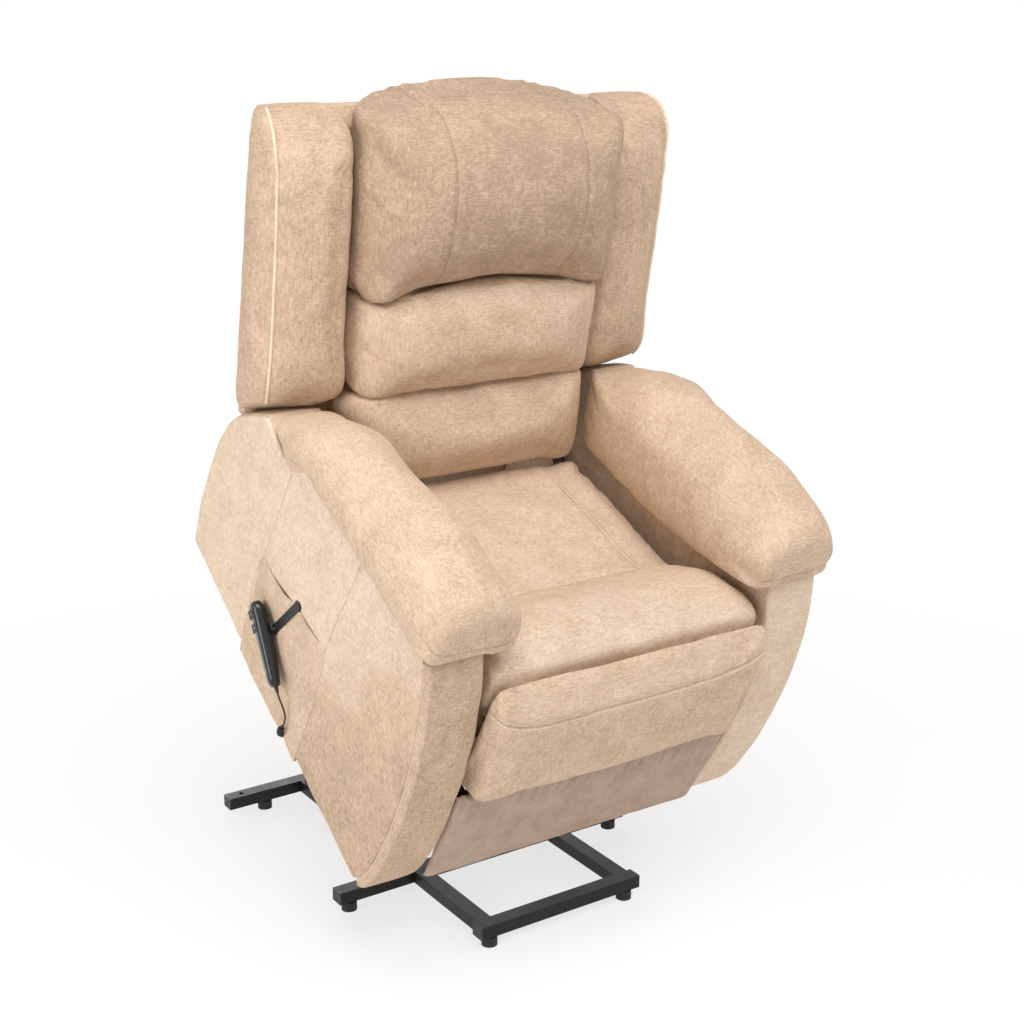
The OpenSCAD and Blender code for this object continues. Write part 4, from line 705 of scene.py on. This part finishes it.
onChair = {"held": heldBelow, "place": inChair, "body": "chair", "cloth": chairCloth, "paintedShading": 0.0}
onBack = {"held": heldBehind, "place": inBack, "body": "backrest", "cloth": backCloth, "voxel": 5.6, "fill": 0.8,
          "seams": [], "paintedShading": 0.0}
headSeam = [[137, 612], [137, 520], [137, 430], [137, 370], [132, 325], [125, 288], [112, 262]]
# Each piece gets painted shading: the seat is made lighter, and the head cushion and the wings darker, for how the
# light falls on them
stuffed = [
    {**onChair, "name": "seatCushion", "node": "seat_cushion", "rings": seatRings(), "voxel": 6.5, "fill": 0.8,
     "seams": seamsOn((0, 1), (0, -0.6, 1), *[[[s * 171, 560], [s * 172, 400], [s * 170, 300], [s * 171, 211]]
                                              for s in (-1, 1)])
     + seamsOn((0, 1), (0, -0.6, 1), [[-276, 214], [-171, 209], [0, 206], [171, 209], [276, 214]],
               depth=2.2, width=4.5, puff=1.8, pucker=0.3),
     "ripple": (1.1, 120, 11), "paintedShading": 0.18},
    {**onBack, "name": "headCushion", "node": "head_cushion", "rings": backRings(headRest), "fill": 0.85,
     "seams": seamsOn((0, 2), (0, -1, 0.6), *[[[s * x, z] for x, z in headSeam] for s in (-1, 1)]),
     "ripple": (1.0, 110, 12), "paintedShading": -0.38},
    {**onBack, "name": "middleCushion", "node": "middle_cushion", "rings": backRings(midRest), "ripple": (1.1, 95, 13)},
    {**onBack, "name": "lumbarCushion", "node": "lumbar_cushion", "rings": backRings(lumbar), "ripple": (1.1, 95, 14)},
    {**onBack, "name": "wingLeft", "twin": "wingRight", "node": "wing_left", "twinNode": "wing_right",
     "rings": wingRings(), "ripple": (0.7, 90, 15), "paintedShading": -0.16},
    {**onChair, "name": "armPadLeft", "twin": "armPadRight", "node": "arm_pad_left", "twinNode": "arm_pad_right",
     "rings": padRings(), "voxel": 6, "fill": 0.75,
     "seams": seamsOn((0, 2), (0.35, -1, 0), [[419, 600], [405, 592], [345, 588], [285, 584], [262, 582]],
                      depth=1.8, width=4, puff=1.6, pucker=0.8, pitch=15),
     "ripple": (1.2, 90, 16)},
    {**onChair, "name": "legrestPad", "node": "legrest_pad", "rings": legPadRings(), "voxel": 5.5, "fill": 0.7,
     "held": heldBehind, "body": "legrest_panel",
     "seams": seamsOn((0, 2), (0, -1, 0.3), [[-291, 459], [-200, 448], [-90, 452], [30, 453], [160, 455], [291, 470]],
                      depth=1.5, width=3.2, puff=1.2, pucker=0.3, strength=2),
     "ripple": (0.8, 80, 17)},
]
swelling = {"shrink": 2.5, "heldShrink": 0.5, "cap": 9, "pressure": 4, "frames": 20}


def startSwelling(item):
    # Shrinks the form, gives it an even mesh, and adds the cloth that will be blown up
    piece = addPiece(item["name"], *loft(item["rings"]))
    points, normals = surfaceOf(piece.data)
    firm = item["held"](normals)[:, None]
    inward = swelling["shrink"] * (1 - firm) + swelling["heldShrink"] * firm
    setPoints(piece.data, points - normals * inward)
    even = piece.modifiers.new("even", "REMESH")
    even.mode, even.voxel_size, even.use_smooth_shade = "VOXEL", item["voxel"] * mm, True
    calm = piece.modifiers.new("calm", "SMOOTH")
    calm.factor, calm.iterations = 0.5, 5
    settle(piece)
    points, normals = surfaceOf(piece.data)
    firm = item["held"](normals)
    item["start"], item["piece"] = points, piece
    group = piece.vertex_groups.new(name="held")
    for level in (0.5, 1.0):
        chosen = np.nonzero(firm >= level)[0].tolist()
        if chosen:
            group.add(chosen, level, "REPLACE")
    cover = piece.modifiers.new("cover", "CLOTH")
    cover.settings.quality, cover.settings.mass, cover.settings.time_scale = 4, 0.3, 1
    cover.settings.use_pressure, cover.settings.uniform_pressure_force = True, swelling["pressure"]
    cover.settings.tension_stiffness = cover.settings.compression_stiffness = 12
    cover.settings.shear_stiffness, cover.settings.bending_stiffness = 5, 0.4
    cover.settings.vertex_group_mass, cover.settings.pin_stiffness = "held", 1
    cover.settings.effector_weights.gravity = 0
    cover.collision_settings.use_collision = False
    cover.point_cache.frame_start, cover.point_cache.frame_end = 1, swelling["frames"]


def finishSwelling(item):
    piece = item["piece"]
    settle(piece)
    piece.vertex_groups.clear()
    moved = surfaceOf(piece.data)[0] - item["start"]
    far = np.linalg.norm(moved, axis=1, keepdims=True) + 1e-9
    setPoints(piece.data, item["start"] + moved / far * swelling["cap"] * np.tanh(far / swelling["cap"]))
    print(item["name"], "moved by", round(float(far.mean()), 2), "mm, at most", round(float(far.max()), 2))
    refine(piece)
    if item["name"] == "seatCushion":
        # The strips beside the seat's long seams lie lower than the middle and the front
        points, normals = surfaceOf(piece.data)
        strip = smoothStep(np.abs(points[:, 0]), seat["seamX"], seat["seamX"] + 16) * (normals[:, 2] > 0.3)
        points[:, 2] -= strip * smoothStep(points[:, 1], seat["seamY"], seat["seamY"] + 18) * seat["stripDrop"]
        setPoints(piece.data, points)
    sew(piece.data, item["seams"], item["ripple"], item["paintedShading"])
    if "twin" in item:
        twin = mirrored(piece, item["twin"])
        place(twin, item["place"], item["body"], item["cloth"], [item["twinNode"]])
    place(piece, item["place"], item["body"], item["cloth"], [item["node"]])


for item in stuffed:
    startSwelling(item)
for number in range(1, swelling["frames"] + 1):
    bpy.context.scene.frame_set(number)
print("covers blown up")
for item in stuffed:
    finishSwelling(item)
bpy.context.scene.frame_set(1)
print("cushions made")

# Arms: front, top and rear lines as back and height, in shares of the arm's depth and height
arm = {"depth": 787, "height": 500, "inner": 302, "outer": 409, "frontBoard": 13,
       "front": [[0, 0], [-0.071, 0.04], [-0.089, 0.78], [0.037, 1.12]],
       "top": [[0.08, 1.103], [0.14, 1.105], [0.32, 1.105], [0.6, 1.105], [0.66, 1.085], [0.69, 1.05], [0.713, 1.03]],
       "rear": [[0.816, 1.072], [0.966, 0.9], [1.036, 0.8], [1, 0.172]]}


def cubicRow(corners, count):
    # Bezier curve: the corners weighted by the cubic's four terms
    t = np.linspace(0, 1, count)[:, None]
    p = np.asarray(corners, float) * (arm["depth"], arm["height"])
    return (1 - t) ** 3 * p[0] + 3 * (1 - t) ** 2 * t * p[1] + 3 * (1 - t) * t**2 * p[2] + t**3 * p[3]


def evenRow(line, at):
    # Points of a line at shares of its length
    line = np.asarray(line, float)
    gone = np.concatenate([[0], np.cumsum(np.linalg.norm(np.diff(line, axis=0), axis=1))])
    return np.stack([np.interp(np.asarray(at) * gone[-1], gone, line[:, k]) for k in range(line.shape[1])], -1)


def coons(low, high, first, last, steps):
    # Patch between four lines: low and high run with u, first and last with v. Also gives u and v.
    shareU, shareV = crowdedAtEnds(steps[0]), crowdedAtEnds(steps[1])
    u, v = shareU[:, None, None], shareV[None, :, None]
    b, t = evenRow(low, shareU)[:, None], evenRow(high, shareU)[:, None]
    f, r = evenRow(first, shareV)[None], evenRow(last, shareV)[None]
    corners = (1 - u) * (1 - v) * b[:1] + u * (1 - v) * b[-1:] + (1 - u) * v * t[:1] + u * v * t[-1:]
    return (1 - v) * b + v * t + (1 - u) * f + u * r - corners, shareU[:, None], shareV[None, :]


frontLine = cubicRow(arm["front"], 60)
rearLine = cubicRow(arm["rear"], 60)
topLine = np.asarray(arm["top"]) * (arm["depth"], arm["height"])
sides = {"Left": 1, "Right": -1}


def armFace(frontSeam, steps):
    # Side view of an arm as a patch from its front seam to its rear
    first, last = frontLine + [frontSeam, 0], rearLine[::-1]
    high = np.vstack([first[-1:], topLine[1:], rearLine[:1]])
    return coons(np.array([first[0], last[0]]), high, first, last, steps)


def rounding(distance, radius):
    # How far a padded edge has fallen away at a distance from its border
    return radius * (1 - filledOut(distance / radius))


def sideSlab(name, across, flat, wall):
    # Slab whose face has a distance across from the chair's middle plane, with a wall to its flat back
    return addPiece(name, *backed(layered(across, flat[..., 0], flat[..., 1]), np.array([wall, 0, 0])))


def dress(piece, nodes, seams=(), ripple=None, paintedShading=0.0, cloth=chairCloth):
    # Sews a covered board and puts it in its place on the chair or, in the back's cloth, on the back
    matrix, body = (inBack, "backrest") if cloth == backCloth else (inChair, "chair")
    sew(piece.data, seams, ripple, paintedShading)
    place(piece, matrix, body, cloth, nodes)


pocket = {"mouth": [[285, 310.9], [340, 305], [392, 303.5], [450, 291], [500, 287], [534.9, 295.7]],
          "front": [[276.2, 12], [272, 110], [268.1, 202.4], [285, 310.9]],
          "rear": [[538.3, 36], [545, 150], [549.2, 253.7], [534.9, 295.7]],
          "recess": 8, "flap": 3.2, "steps": (120, 120), "size": (255, 260), "edge": 2.5, "inset": 0.4, "bulge": 7.5,
          "strap": ((438, 202), (392, 312)), "strapPress": 21, "roll": 1.4, "rollAt": 248,
          "folds": [(2, 11, 2, 0, [[470, 296], [462, 215], [474, 120]]),
                    (1.8, 10, 1.6, 0, [[360, 300], [372, 215], [345, 110]]),
                    (1.5, 5, 1.6, 0.3, [[523, 292], [505, 240], [512, 180]])]}
sidePad = {"edge": 7, "wall": 5.5, "steps": (230, 170), "size": (700, 480), "frontSeam": 22, "swell": 1.5,
           "seams": [[[522, 510], [525.2, 472.9], [530, 380], [534.9, 295.7]],
                     [[266, 545], [269.8, 487.7], [278, 400], [285, 310.9]]],
           "folds": [(1.6, 9, 1.5, 0.2, [[560, 470], [548, 380], [552, 300]]),
                     (1.4, 12, 1.2, 0, [[300, 480], [235, 440], [160, 470]]),
                     (1.3, 16, 1.2, 0, [[250, 60], [215, 180], [235, 300]])],
           "paintedShading": (-0.22, 0.5), "paintedShadingFrom": (250, 750)}


def foldsOn(side, rows):
    # Folds in a side's cloth, each row with depth, width, puff, pucker and line
    return [seam for depth, width, puff, pucker, line in rows for seam in seamsOn(
        (1, 2), (side, 0, 0), line, depth=depth, width=width, puff=puff, pucker=pucker, strength=0)]


def armSide(end, side, s=sidePad):
    # Padded side of an arm, rounded at its border. Behind the pocket's flap it is set back.
    flat, u, v = armFace(s["frontSeam"], s["steps"])
    wide, high = s["size"]
    border = nearest((u + 0.004) * wide, (1 - u) * wide, v * high, (1 - v) * high)
    out = arm["outer"] - rounding(border, s["edge"]) + s["swell"] * np.sin(math.pi * u) * np.sin(math.pi * v)
    if side < 0:
        y, z = flat[..., 0], flat[..., 1]
        mouth = np.interp(y, *zip(*pocket["mouth"]))
        front, rear = [np.interp(z, *zip(*[point[::-1] for point in pocket[key]])) for key in ("front", "rear")]
        inside = smoothStep(mouth - z, -3, 8) * smoothStep(y - front, 3, 12) * smoothStep(rear - y, 3, 12)
        out = out - inside * smoothStep(z, 8, 40) * pocket["recess"]
    piece = sideSlab("sideCover" + end, side * out, flat, -side * s["wall"])
    seams = seamsOn((1, 2), (side, 0, 0), *s["seams"], depth=1.0, puff=1.4) + foldsOn(side, s["folds"])
    seams += seamsOn((1, 2), (side, 0, 0), pocket["rear"], pocket["front"], depth=1.4)
    # Painted shading: the side is made darker towards the lower front and lighter towards the upper rear, for how the
    # light falls on it
    points = surfaceOf(piece.data)[0]
    paintedShading = s["paintedShading"][0] + s["paintedShading"][1] * smoothStep(points[:, 1] + points[:, 2], *s["paintedShadingFrom"])
    dress(piece, ["side_cover_" + end.lower()], seams, (0.9, 120, 21), paintedShading)


def pocketFlap(p=pocket):
    # Patch between the pocket's two seams, its mouth and the arm's lower edge; its mouth edge is rolled
    mouth, first, last = [smoothRow(p[key], 40) for key in ("mouth", "front", "rear")]
    flat, u, v = coons(np.array([first[0], last[0]]), mouth, first, last, p["steps"])
    wide, high = p["size"]
    border = nearest(u * wide, (1 - u) * wide, v * high, (1 - v) * high)
    sag = np.sin(math.pi * u) ** 0.8 * smoothStep(v, 0.2, 1)
    # Under the hook's strap the cloth is pressed flat
    foot, along = np.array(p["strap"][0]), np.subtract(p["strap"][1], p["strap"][0])
    share = np.clip((flat - foot) @ along / (along @ along), 0, 1)[..., None]
    pressed = 1 - valley(np.linalg.norm(flat - foot - share * along, axis=-1), 0, p["strapPress"])
    out = arm["outer"] - p["inset"] - rounding(border, p["edge"]) + p["bulge"] * sag * pressed
    out = out + p["roll"] * valley(v * high, p["rollAt"], 4) * np.sin(math.pi * u) * pressed
    piece = sideSlab("pocketFlap", -out, flat, p["flap"])
    dress(piece, ["side_pocket"], foldsOn(-1, p["folds"]), (1.0, 70, 23))


def carried(name, line, section, side):
    # A closed section of (across, inwards) points carried along a line of back and height, on one side of the chair
    ahead = unitRows(np.gradient(line, axis=0))
    inward = np.stack([ahead[:, 1], -ahead[:, 0]], -1)
    spot = line[:, None] + inward[:, None] * section[None, :, 1:2]
    return addPiece(name, *loft(layered(side * section[None, :, 0], spot[..., 0], spot[..., 1])))


def padSection(low, high, depthLow, depthHigh, corner, swell):
    # Section of a padded board: flat behind, rounded at both front corners, slightly crowned in front.
    # Its front lies at depth 0; it reaches depthLow at the low end and depthHigh at the high end.
    turn = np.linspace(0, math.pi / 2, 9)
    first = np.stack([low + corner * (1 - np.sin(turn[::-1])), corner * (1 - np.cos(turn[::-1]))], -1)
    across = np.linspace(low + corner, high - corner, 22)[1:-1]
    front = np.stack([across, -swell * np.sin(math.pi * (across - low) / (high - low))], -1)
    last = np.stack([high - corner * (1 - np.sin(turn)), corner * (1 - np.cos(turn))], -1)
    wallHigh = np.stack([np.full(6, high), np.linspace(corner, depthHigh, 7)[1:]], -1)
    wallLow = np.stack([np.full(4, low), np.linspace(depthLow, corner, 5)[:-1]], -1)
    return np.vstack([first, front, last, wallHigh, wallLow])


def armFront(end, side):
    # Front board's cover, which wraps round the outer corner to the topstitched seam
    section = padSection(arm["inner"] + 0.5, arm["outer"], depthLow=14, depthHigh=24, corner=9, swell=2)
    piece = carried("armFront" + end, evenRow(frontLine, np.linspace(0, 1, 130)), section, side)
    refine(piece)
    seams = seamsOn((1, 2), (side, 0, 0), (frontLine + [21.5, 0])[6:-4:5].tolist(), steps=40, strength=2, depth=1.0,
                    pucker=0.35, pitch=16)
    # Painted shading: the left arm's front is made lighter and the right one's darker
    dress(piece, ["arm_front_" + end.lower()], seams, (0.6, 75, 25), 0.3 if side > 0 else -0.15)


def armRear(end, side):
    # Thin padded cover over the rear and the upper rear edge of an arm
    line = evenRow(np.vstack([[[556, 513], [600, 526]], rearLine]), np.linspace(0, 1, 120))[::-1]
    section = padSection(arm["inner"] + 1, arm["outer"] - 5.5, depthLow=2.6, depthHigh=2.6, corner=2.4, swell=1.2)
    dress(carried("armRear" + end, line, (section - [0, 3]) * [1, -1], side), (), (), (0.5, 90, 27))


def armLining(end, side):
    # Cloth on the inner face of an arm, over the whole arm profile
    flat, _, _ = armFace(arm["frontBoard"], (90, 70))
    dress(sideSlab("armLining" + end, side * (arm["inner"] - 1.4), flat, side * 1.3), ())


for end, side in sides.items():
    armSide(end, side)
pocketFlap()
for make in (armFront, armRear, armLining):
    for end, side in sides.items():
        make(end, side)
print("arms covered")

skirt = {"half": 298, "low": 28, "high": 255, "front": -42, "back": -33, "foremost": -48.5, "edge": 7, "drawIn": 6,
         "bulge": 3.5, "gather": 2.6, "gathers": 46, "gatherWaves": ((1, 0.5), (1.3, 0.83), (2, 1.27)),
         "fadeBelow": 0.28, "steps": (240, 60)}


def panel(name, x, y, z, back):
    # Slab with a curved front and one flat back at y = back
    grid = layered(x, y, z)
    points, faces = backed(grid, np.zeros(3))
    points[grid.shape[0] * grid.shape[1]:, 1] = back
    return addPiece(name, points, faces)


def frontSkirt(s=skirt):
    # Cloth panel that hangs in soft gathers from its upper edge and is drawn under below
    t, v = np.linspace(-1, 1, s["steps"][0])[:, None], crowdedAtEnds(s["steps"][1])[None, :]
    high = s["high"] - s["low"]
    rng = np.random.default_rng(31)
    fold = sum(np.sin(math.pi * t * s["gathers"] * k + rng.uniform(0, 6)) / n for n, k in s["gatherWaves"])
    end = filledOut((1 - np.abs(t)) / 0.06)
    y = s["front"] + rounding(nearest(v * high, (1 - v) * high), s["edge"]) + (1 - end) * s["drawIn"]
    y = y - s["bulge"] * np.sin(math.pi * np.clip(v, 0, 1)) ** 0.7 * end
    y = y - s["gather"] * fold * end * valley(1 - v, 0, s["fadeBelow"]) - 0.5 * np.sin(t * 9 + 4 * v) * end
    piece = panel("frontSkirt", t * s["half"], np.maximum(y, s["foremost"]), s["low"] + high * v, s["back"])
    dress(piece, ["front_skirt"], (), (0.5, 60, 32), cloth=shadedSkirtCloth)


frontSkirt()


def boxSkin(low, high, corner=1.5):
    # Block with rounded edges: rings of a squarish superellipse, drawn in at both ends
    inset = corner * np.array([1, 0.7, 0.3, 0, 0, 0.3, 0.7, 1])
    along = [low[0] + corner * k for k in (0, 0, 0.3, 1)] + [high[0] - corner * k for k in (1, 0.3, 0, 0)]
    rings = []
    for x, d in zip(along, inset):
        y, z = roundBox([low[1] + d, low[2] + d], [high[1] - d, high[2] - d], 24, 44)
        rings.append(layered(x, y, z))
    return loft(rings)


skirtBoard = joinedPiece("skirtBoard", [boxSkin((-265, -32.4, 46), (265, -20.5, 237)),
                                        boxSkin((-218, -20.5, 105), (-203, 25, 130)),
                                        boxSkin((203, -20.5, 105), (218, 25, 130))])
place(skirtBoard, inChair, "chair", finishes["beechPlywood"])

rearBoard = {"half": 301.4, "edgeHalf": 301, "low": 100, "high": 155, "proud": 1, "thick": 12, "edge": 5, "swell": 1.5}


def rearPanel(r=rearBoard):
    # Cloth panel low between the arms, at the chair's rear
    t, v = crowdedAtEnds(120)[:, None] * 2 - 1, crowdedAtEnds(50)[None, :]
    border = nearest((1 - np.abs(t)) * r["edgeHalf"], v * r["high"], (1 - v) * r["high"])
    y = arm["depth"] + r["proud"] - rounding(border, r["edge"])
    y = y + r["swell"] * np.cos(t * math.pi / 2) * np.sin(math.pi * v)
    piece = panel("rearPanel", t * r["half"], y, r["low"] + r["high"] * v, arm["depth"] - r["thick"])
    dress(piece, ["rear_panel"], (), (0.6, 90, 33))


rearPanel()

backShell = {"half": 392, "high": 567, "corner": 45, "crown": 3.2, "tailHalf": 290, "tailLow": -50,
             "rim": [[-33, 1], [-29, 0], [-20, 0], [-9, 0], [-5, 1], [-2, 2.6], [0, 5], [1.2, 8.5], [1.9, 13]]}


def roundTopLine(half, high, corner, count):
    # Outline with two rounded upper corners, evenly spaced, from the lower right corner over the top and back below
    turn = np.linspace(0, math.pi / 2, 12)
    right = np.stack([half - corner + corner * np.cos(turn), high - corner + corner * np.sin(turn)], -1)
    left = np.stack([-right[::-1, 0], right[::-1, 1]], -1)
    line = np.vstack([[[half, 0]], right, left, [[-half, 0]]])
    lower = evenRow([[-half, 0], [half, 0]], np.linspace(0, 1, count // 4 + 2)[1:-1])
    return np.vstack([evenRow(line, np.linspace(0, 1, count)), lower])


def backCover(b=backShell):
    # Rear of the back: rings of a depth and an inset round its rim, which then close in to the middle of a slightly
    # crowned rear face
    rings = []
    for deep, inset in b["rim"]:
        line = roundTopLine(b["half"] - inset, b["high"] - inset, b["corner"] - inset, 220)
        line[:, 1] += inset * (line[:, 1] < 1)
        rings.append(layered(line[:, 0], float(deep), line[:, 1]))
    rim, centre = rings[-1], np.array([0, b["rim"][-1][0], b["high"] / 2])
    for share in np.linspace(1, 0, 60)[1:-1]:
        ring = centre + (rim - centre) * share
        rise = np.cos(math.pi / 2 * ring[:, 0] / b["half"]) * np.sin(math.pi * ring[:, 2] / b["high"])
        ring[:, 1] += b["crown"] * rise
        rings.append(ring)
    piece = addPiece("backCover", *loft(rings))
    seams = seamsOn((0, 2), (0, 1, 0), *[[[s * 300, 600], [s * 296, 300], [s * 290, -10]] for s in (-1, 1)],
                    [[-400, 470], [0, 474], [400, 470]], depth=1.3)
    dress(piece, ["back_cover"], seams, (0.9, 150, 35), cloth=backCloth)
    tail = addPiece("backTail", *boxSkin((-b["tailHalf"], -8, b["tailLow"]), (b["tailHalf"], 2, 3), 3))
    dress(tail, (), cloth=backCloth)


backCover()
print("skirt, rear and back covered")


def snapped(piece, path, lift):
    # Moves path points to the nearest point of a piece's surface, then out along its normal
    mesh = piece.data
    tree = BVHTree.FromPolygons([v.co for v in mesh.vertices], [p.vertices for p in mesh.polygons])
    moved = []
    for point in path:
        near, normal, _, _ = tree.find_nearest(Vector(point))
        moved.append(near + normal * lift)
    return np.array(moved)


piping = {"corner": wing["count"] // 8, "radius": 3.0, "lift": 0.8}


def wingPiping(end, side, p=piping):
    # Welt cord along the wing's outer front corner, from its lower end over its top
    path = wingRings()[3:, p["corner"]] + [1, -1, 0]
    path = evenRow(smoothRow(path, 160), np.linspace(0.0, 1, 150)) * [side, 1, 1] * mm
    path = np.array([inBack @ Vector(point) for point in path])
    path = snapped(bpy.data.objects["wing" + end], path, p["lift"] * mm)
    for _ in range(3):
        path[1:-1] = (path[:-2] + 2 * path[1:-1] + path[2:]) / 4
    piece = addPiece("wingPiping" + end, *loft(tubeRings(path / mm, p["radius"], 10)))
    sew(piece.data)
    place(piece, Matrix.Identity(4), "backrest", pipingCloth)


for end, side in sides.items():
    wingPiping(end, side)
print("piping sewn")

# Handset: rounded body with a tapered lower end, strain relief, and marks on its front
handset = {"long": 160, "wide": 46, "thick": 26, "belly": 2, "taper": 0.8, "corner": 3.0, "endRound": 15,
           "thinBelow": 5.5, "thinAbove": 4, "relief": (-92, -77), "reliefRadius": 2.9, "reliefFlare": 1.4,
           "reliefRibs": 4, "ribHeight": 0.35}


def handsetRings(h=handset):
    # Superellipses up the handset: thickest above the middle, narrower below, rounded at both ends
    share = crowdedAtEnds(70)[:, None]
    end = filledOut(np.minimum(share, 1 - share) * h["long"] / h["endRound"])
    width = h["wide"] / 2 * (h["taper"] + (1 - h["taper"]) * smoothStep(share, 0, 0.9)) * (0.45 + 0.55 * end)
    front, rear = -h["thick"] / 2 * (0.4 + 0.6 * end), (h["thick"] / 2 + h["belly"]) * (0.35 + 0.65 * end)
    rear = rear - h["thinBelow"] * (1 - smoothStep(share, 0.02, 0.45)) * end
    rear = rear - h["thinAbove"] * smoothStep(share, 0.85, 1) * end
    x, y = roundBox([front, -width], [rear, width], h["corner"], 84)
    return layered(x, y, (share - 0.5) * h["long"])


def reliefRings(h=handset, count=24):
    # Flaring tube with ribs, straight down from the handset
    path = layered(0.0, 0.0, np.linspace(*h["relief"], count))
    share = np.linspace(0, 1, count)
    ribs = h["ribHeight"] * np.sin(2 * math.pi * h["reliefRibs"] * share)
    return tubeRings(path, h["reliefRadius"] + h["reliefFlare"] * share + ribs, count)


handsetBody = joinedPiece("handsetBody", [loft(handsetRings()), loft(reliefRings())])
place(handsetBody, inHandset, "chair", finishes["glossAbs"], ["handset"])

# Curved pale lines: two long ones beside the keys, one below them and one across the lower end
frontX = -handset["thick"] / 2 - 0.1
marks = [[[frontX, -3, 74], [frontX, 1.5, 66], [frontX, 0.5, 56], [frontX, -2.5, 47]],
         [[frontX, 17, 69], [frontX + 0.3, 19.2, 60], [frontX + 0.1, 18.2, 50]],
         [[frontX, 1, 40], [frontX, -1.8, 34], [frontX, 0.8, 27], [frontX, -1, 20]],
         [[frontX + 0.4, -12, -46], [frontX + 0.1, -5, -52], [frontX + 0.1, 5, -52], [frontX + 0.4, 12, -46]]]
markRadius, signRadius = 0.45, 0.35
handsetMarks = joinedPiece("handsetMarks", [loft(tubeRings(smoothRow(line, 24), markRadius, 8)) for line in marks])
place(handsetMarks, inHandset, "chair", finishes["paleMark"])
# An arrow on each key, 2 mm in front of the handset: place in shares of its width and length, and way up or down
keys = {"button_lift_up": (0.24, 0.36, 1), "button_lift_down": (-0.24, 0.36, -1), "button_recline": (0.24, 0.2, -1),
        "button_upright": (-0.24, 0.2, 1)}
for key, (across, up, way) in keys.items():
    y, z, x = across * handset["wide"], up * handset["long"], -handset["thick"] / 2 - 2
    arrow = evenRow([[x, y - 3, z - 1.5 * way], [x, y, z + 2 * way], [x, y + 3, z - 1.5 * way]], np.linspace(0, 1, 15))
    sign = addPiece("sign_" + key, *loft(tubeRings(arrow, signRadius, 8)))
    place(sign, inHandset, key, finishes["paleMark"])
print("handset made")


def seenDirectly(tree):
    # 1 for rays from the camera, straight, mirrored or through something, and 0 for the rest
    rays = addNode(tree, "LightPath").outputs
    straight = calc(tree, "MAXIMUM", rays["Is Camera Ray"], rays["Is Glossy Ray"])
    return calc(tree, "MAXIMUM", straight, rays["Is Transmission Ray"])


# Floor: pale, with the object's shadow. The camera sees it mostly as plain white, and all white further off.
stage = {"reach": 9000, "cells": 7, "fadeFrom": 0.7, "fadeTo": 2.0, "white": 0.72}
at = np.linspace(-stage["reach"], stage["reach"], stage["cells"])
index = np.arange(stage["cells"] ** 2).reshape(stage["cells"], -1)
floor = addPiece("floor", layered(at[:, None], at[None, :], 0.0).reshape(-1, 3), gridFaces(index))
material, tree, shader = startMaterial("paleFloor", {"Roughness": 0.9, "Base Color": toLinear("#F4F3F1")})
where = addNode(tree, "TexCoord").outputs["Object"]
apart = addNode(tree, "VectorMath", {0: where}, operation="LENGTH").outputs["Value"]
fade = remap(tree, apart, (stage["fadeFrom"], stage["fadeTo"]), (stage["white"], 1.0))
white = addNode(tree, "Emission", {"Color": (1, 1, 1, 1), "Strength": 1.0})
mixed = addNode(tree, "MixShader", {0: product(tree, seenDirectly(tree), fade), 1: shader, 2: white})
connect(tree, next(n for n in tree.nodes if n.type == "OUTPUT_MATERIAL"), {"Surface": mixed})
floor.data.materials.append(material)

world = bpy.data.worlds.new("studio")
bpy.context.scene.world = world
world.use_nodes = True
world.node_tree.nodes.clear()
lit = addNode(world.node_tree, "Background", {"Color": toLinear("#FFFBF6"), "Strength": 0.36})
seen = addNode(world.node_tree, "Background", {"Color": (1, 1, 1, 1), "Strength": 1.0})
mixed = addNode(world.node_tree, "MixShader", {0: seenDirectly(world.node_tree), 1: lit, 2: seen})
addNode(world.node_tree, "OutputWorld", {"Surface": mixed})

aimedAt = Vector((0, 0, 0.75))
lights = {"above": {"at": (-0.6, -1.7, 3.5), "size": 2.4, "power": 98},
          "left": {"at": (-3.6, -0.5, 1.5), "size": 2.0, "power": 62},
          "fillFront": {"at": (0.9, -4.0, 1.5), "size": 2.4, "power": 8},
          "fillRight": {"at": (3.4, -1.6, 1.6), "size": 2.0, "power": 20},
          "rearSoft": {"at": (0.9, 3.6, 1.8), "size": 2.6, "power": 50}}
for name, light in lights.items():
    lamp = bpy.data.lights.new(name, "AREA")
    lamp.size, lamp.energy = light["size"], light["power"]
    holder = bpy.data.objects.new(name, lamp)
    holder.location = light["at"]
    holder.rotation_euler = (aimedAt - Vector(light["at"])).to_track_quat("-Z", "Y").to_euler()
    bpy.context.collection.objects.link(holder)
bpy.context.scene.view_settings.view_transform = "Standard"
print("studio set")
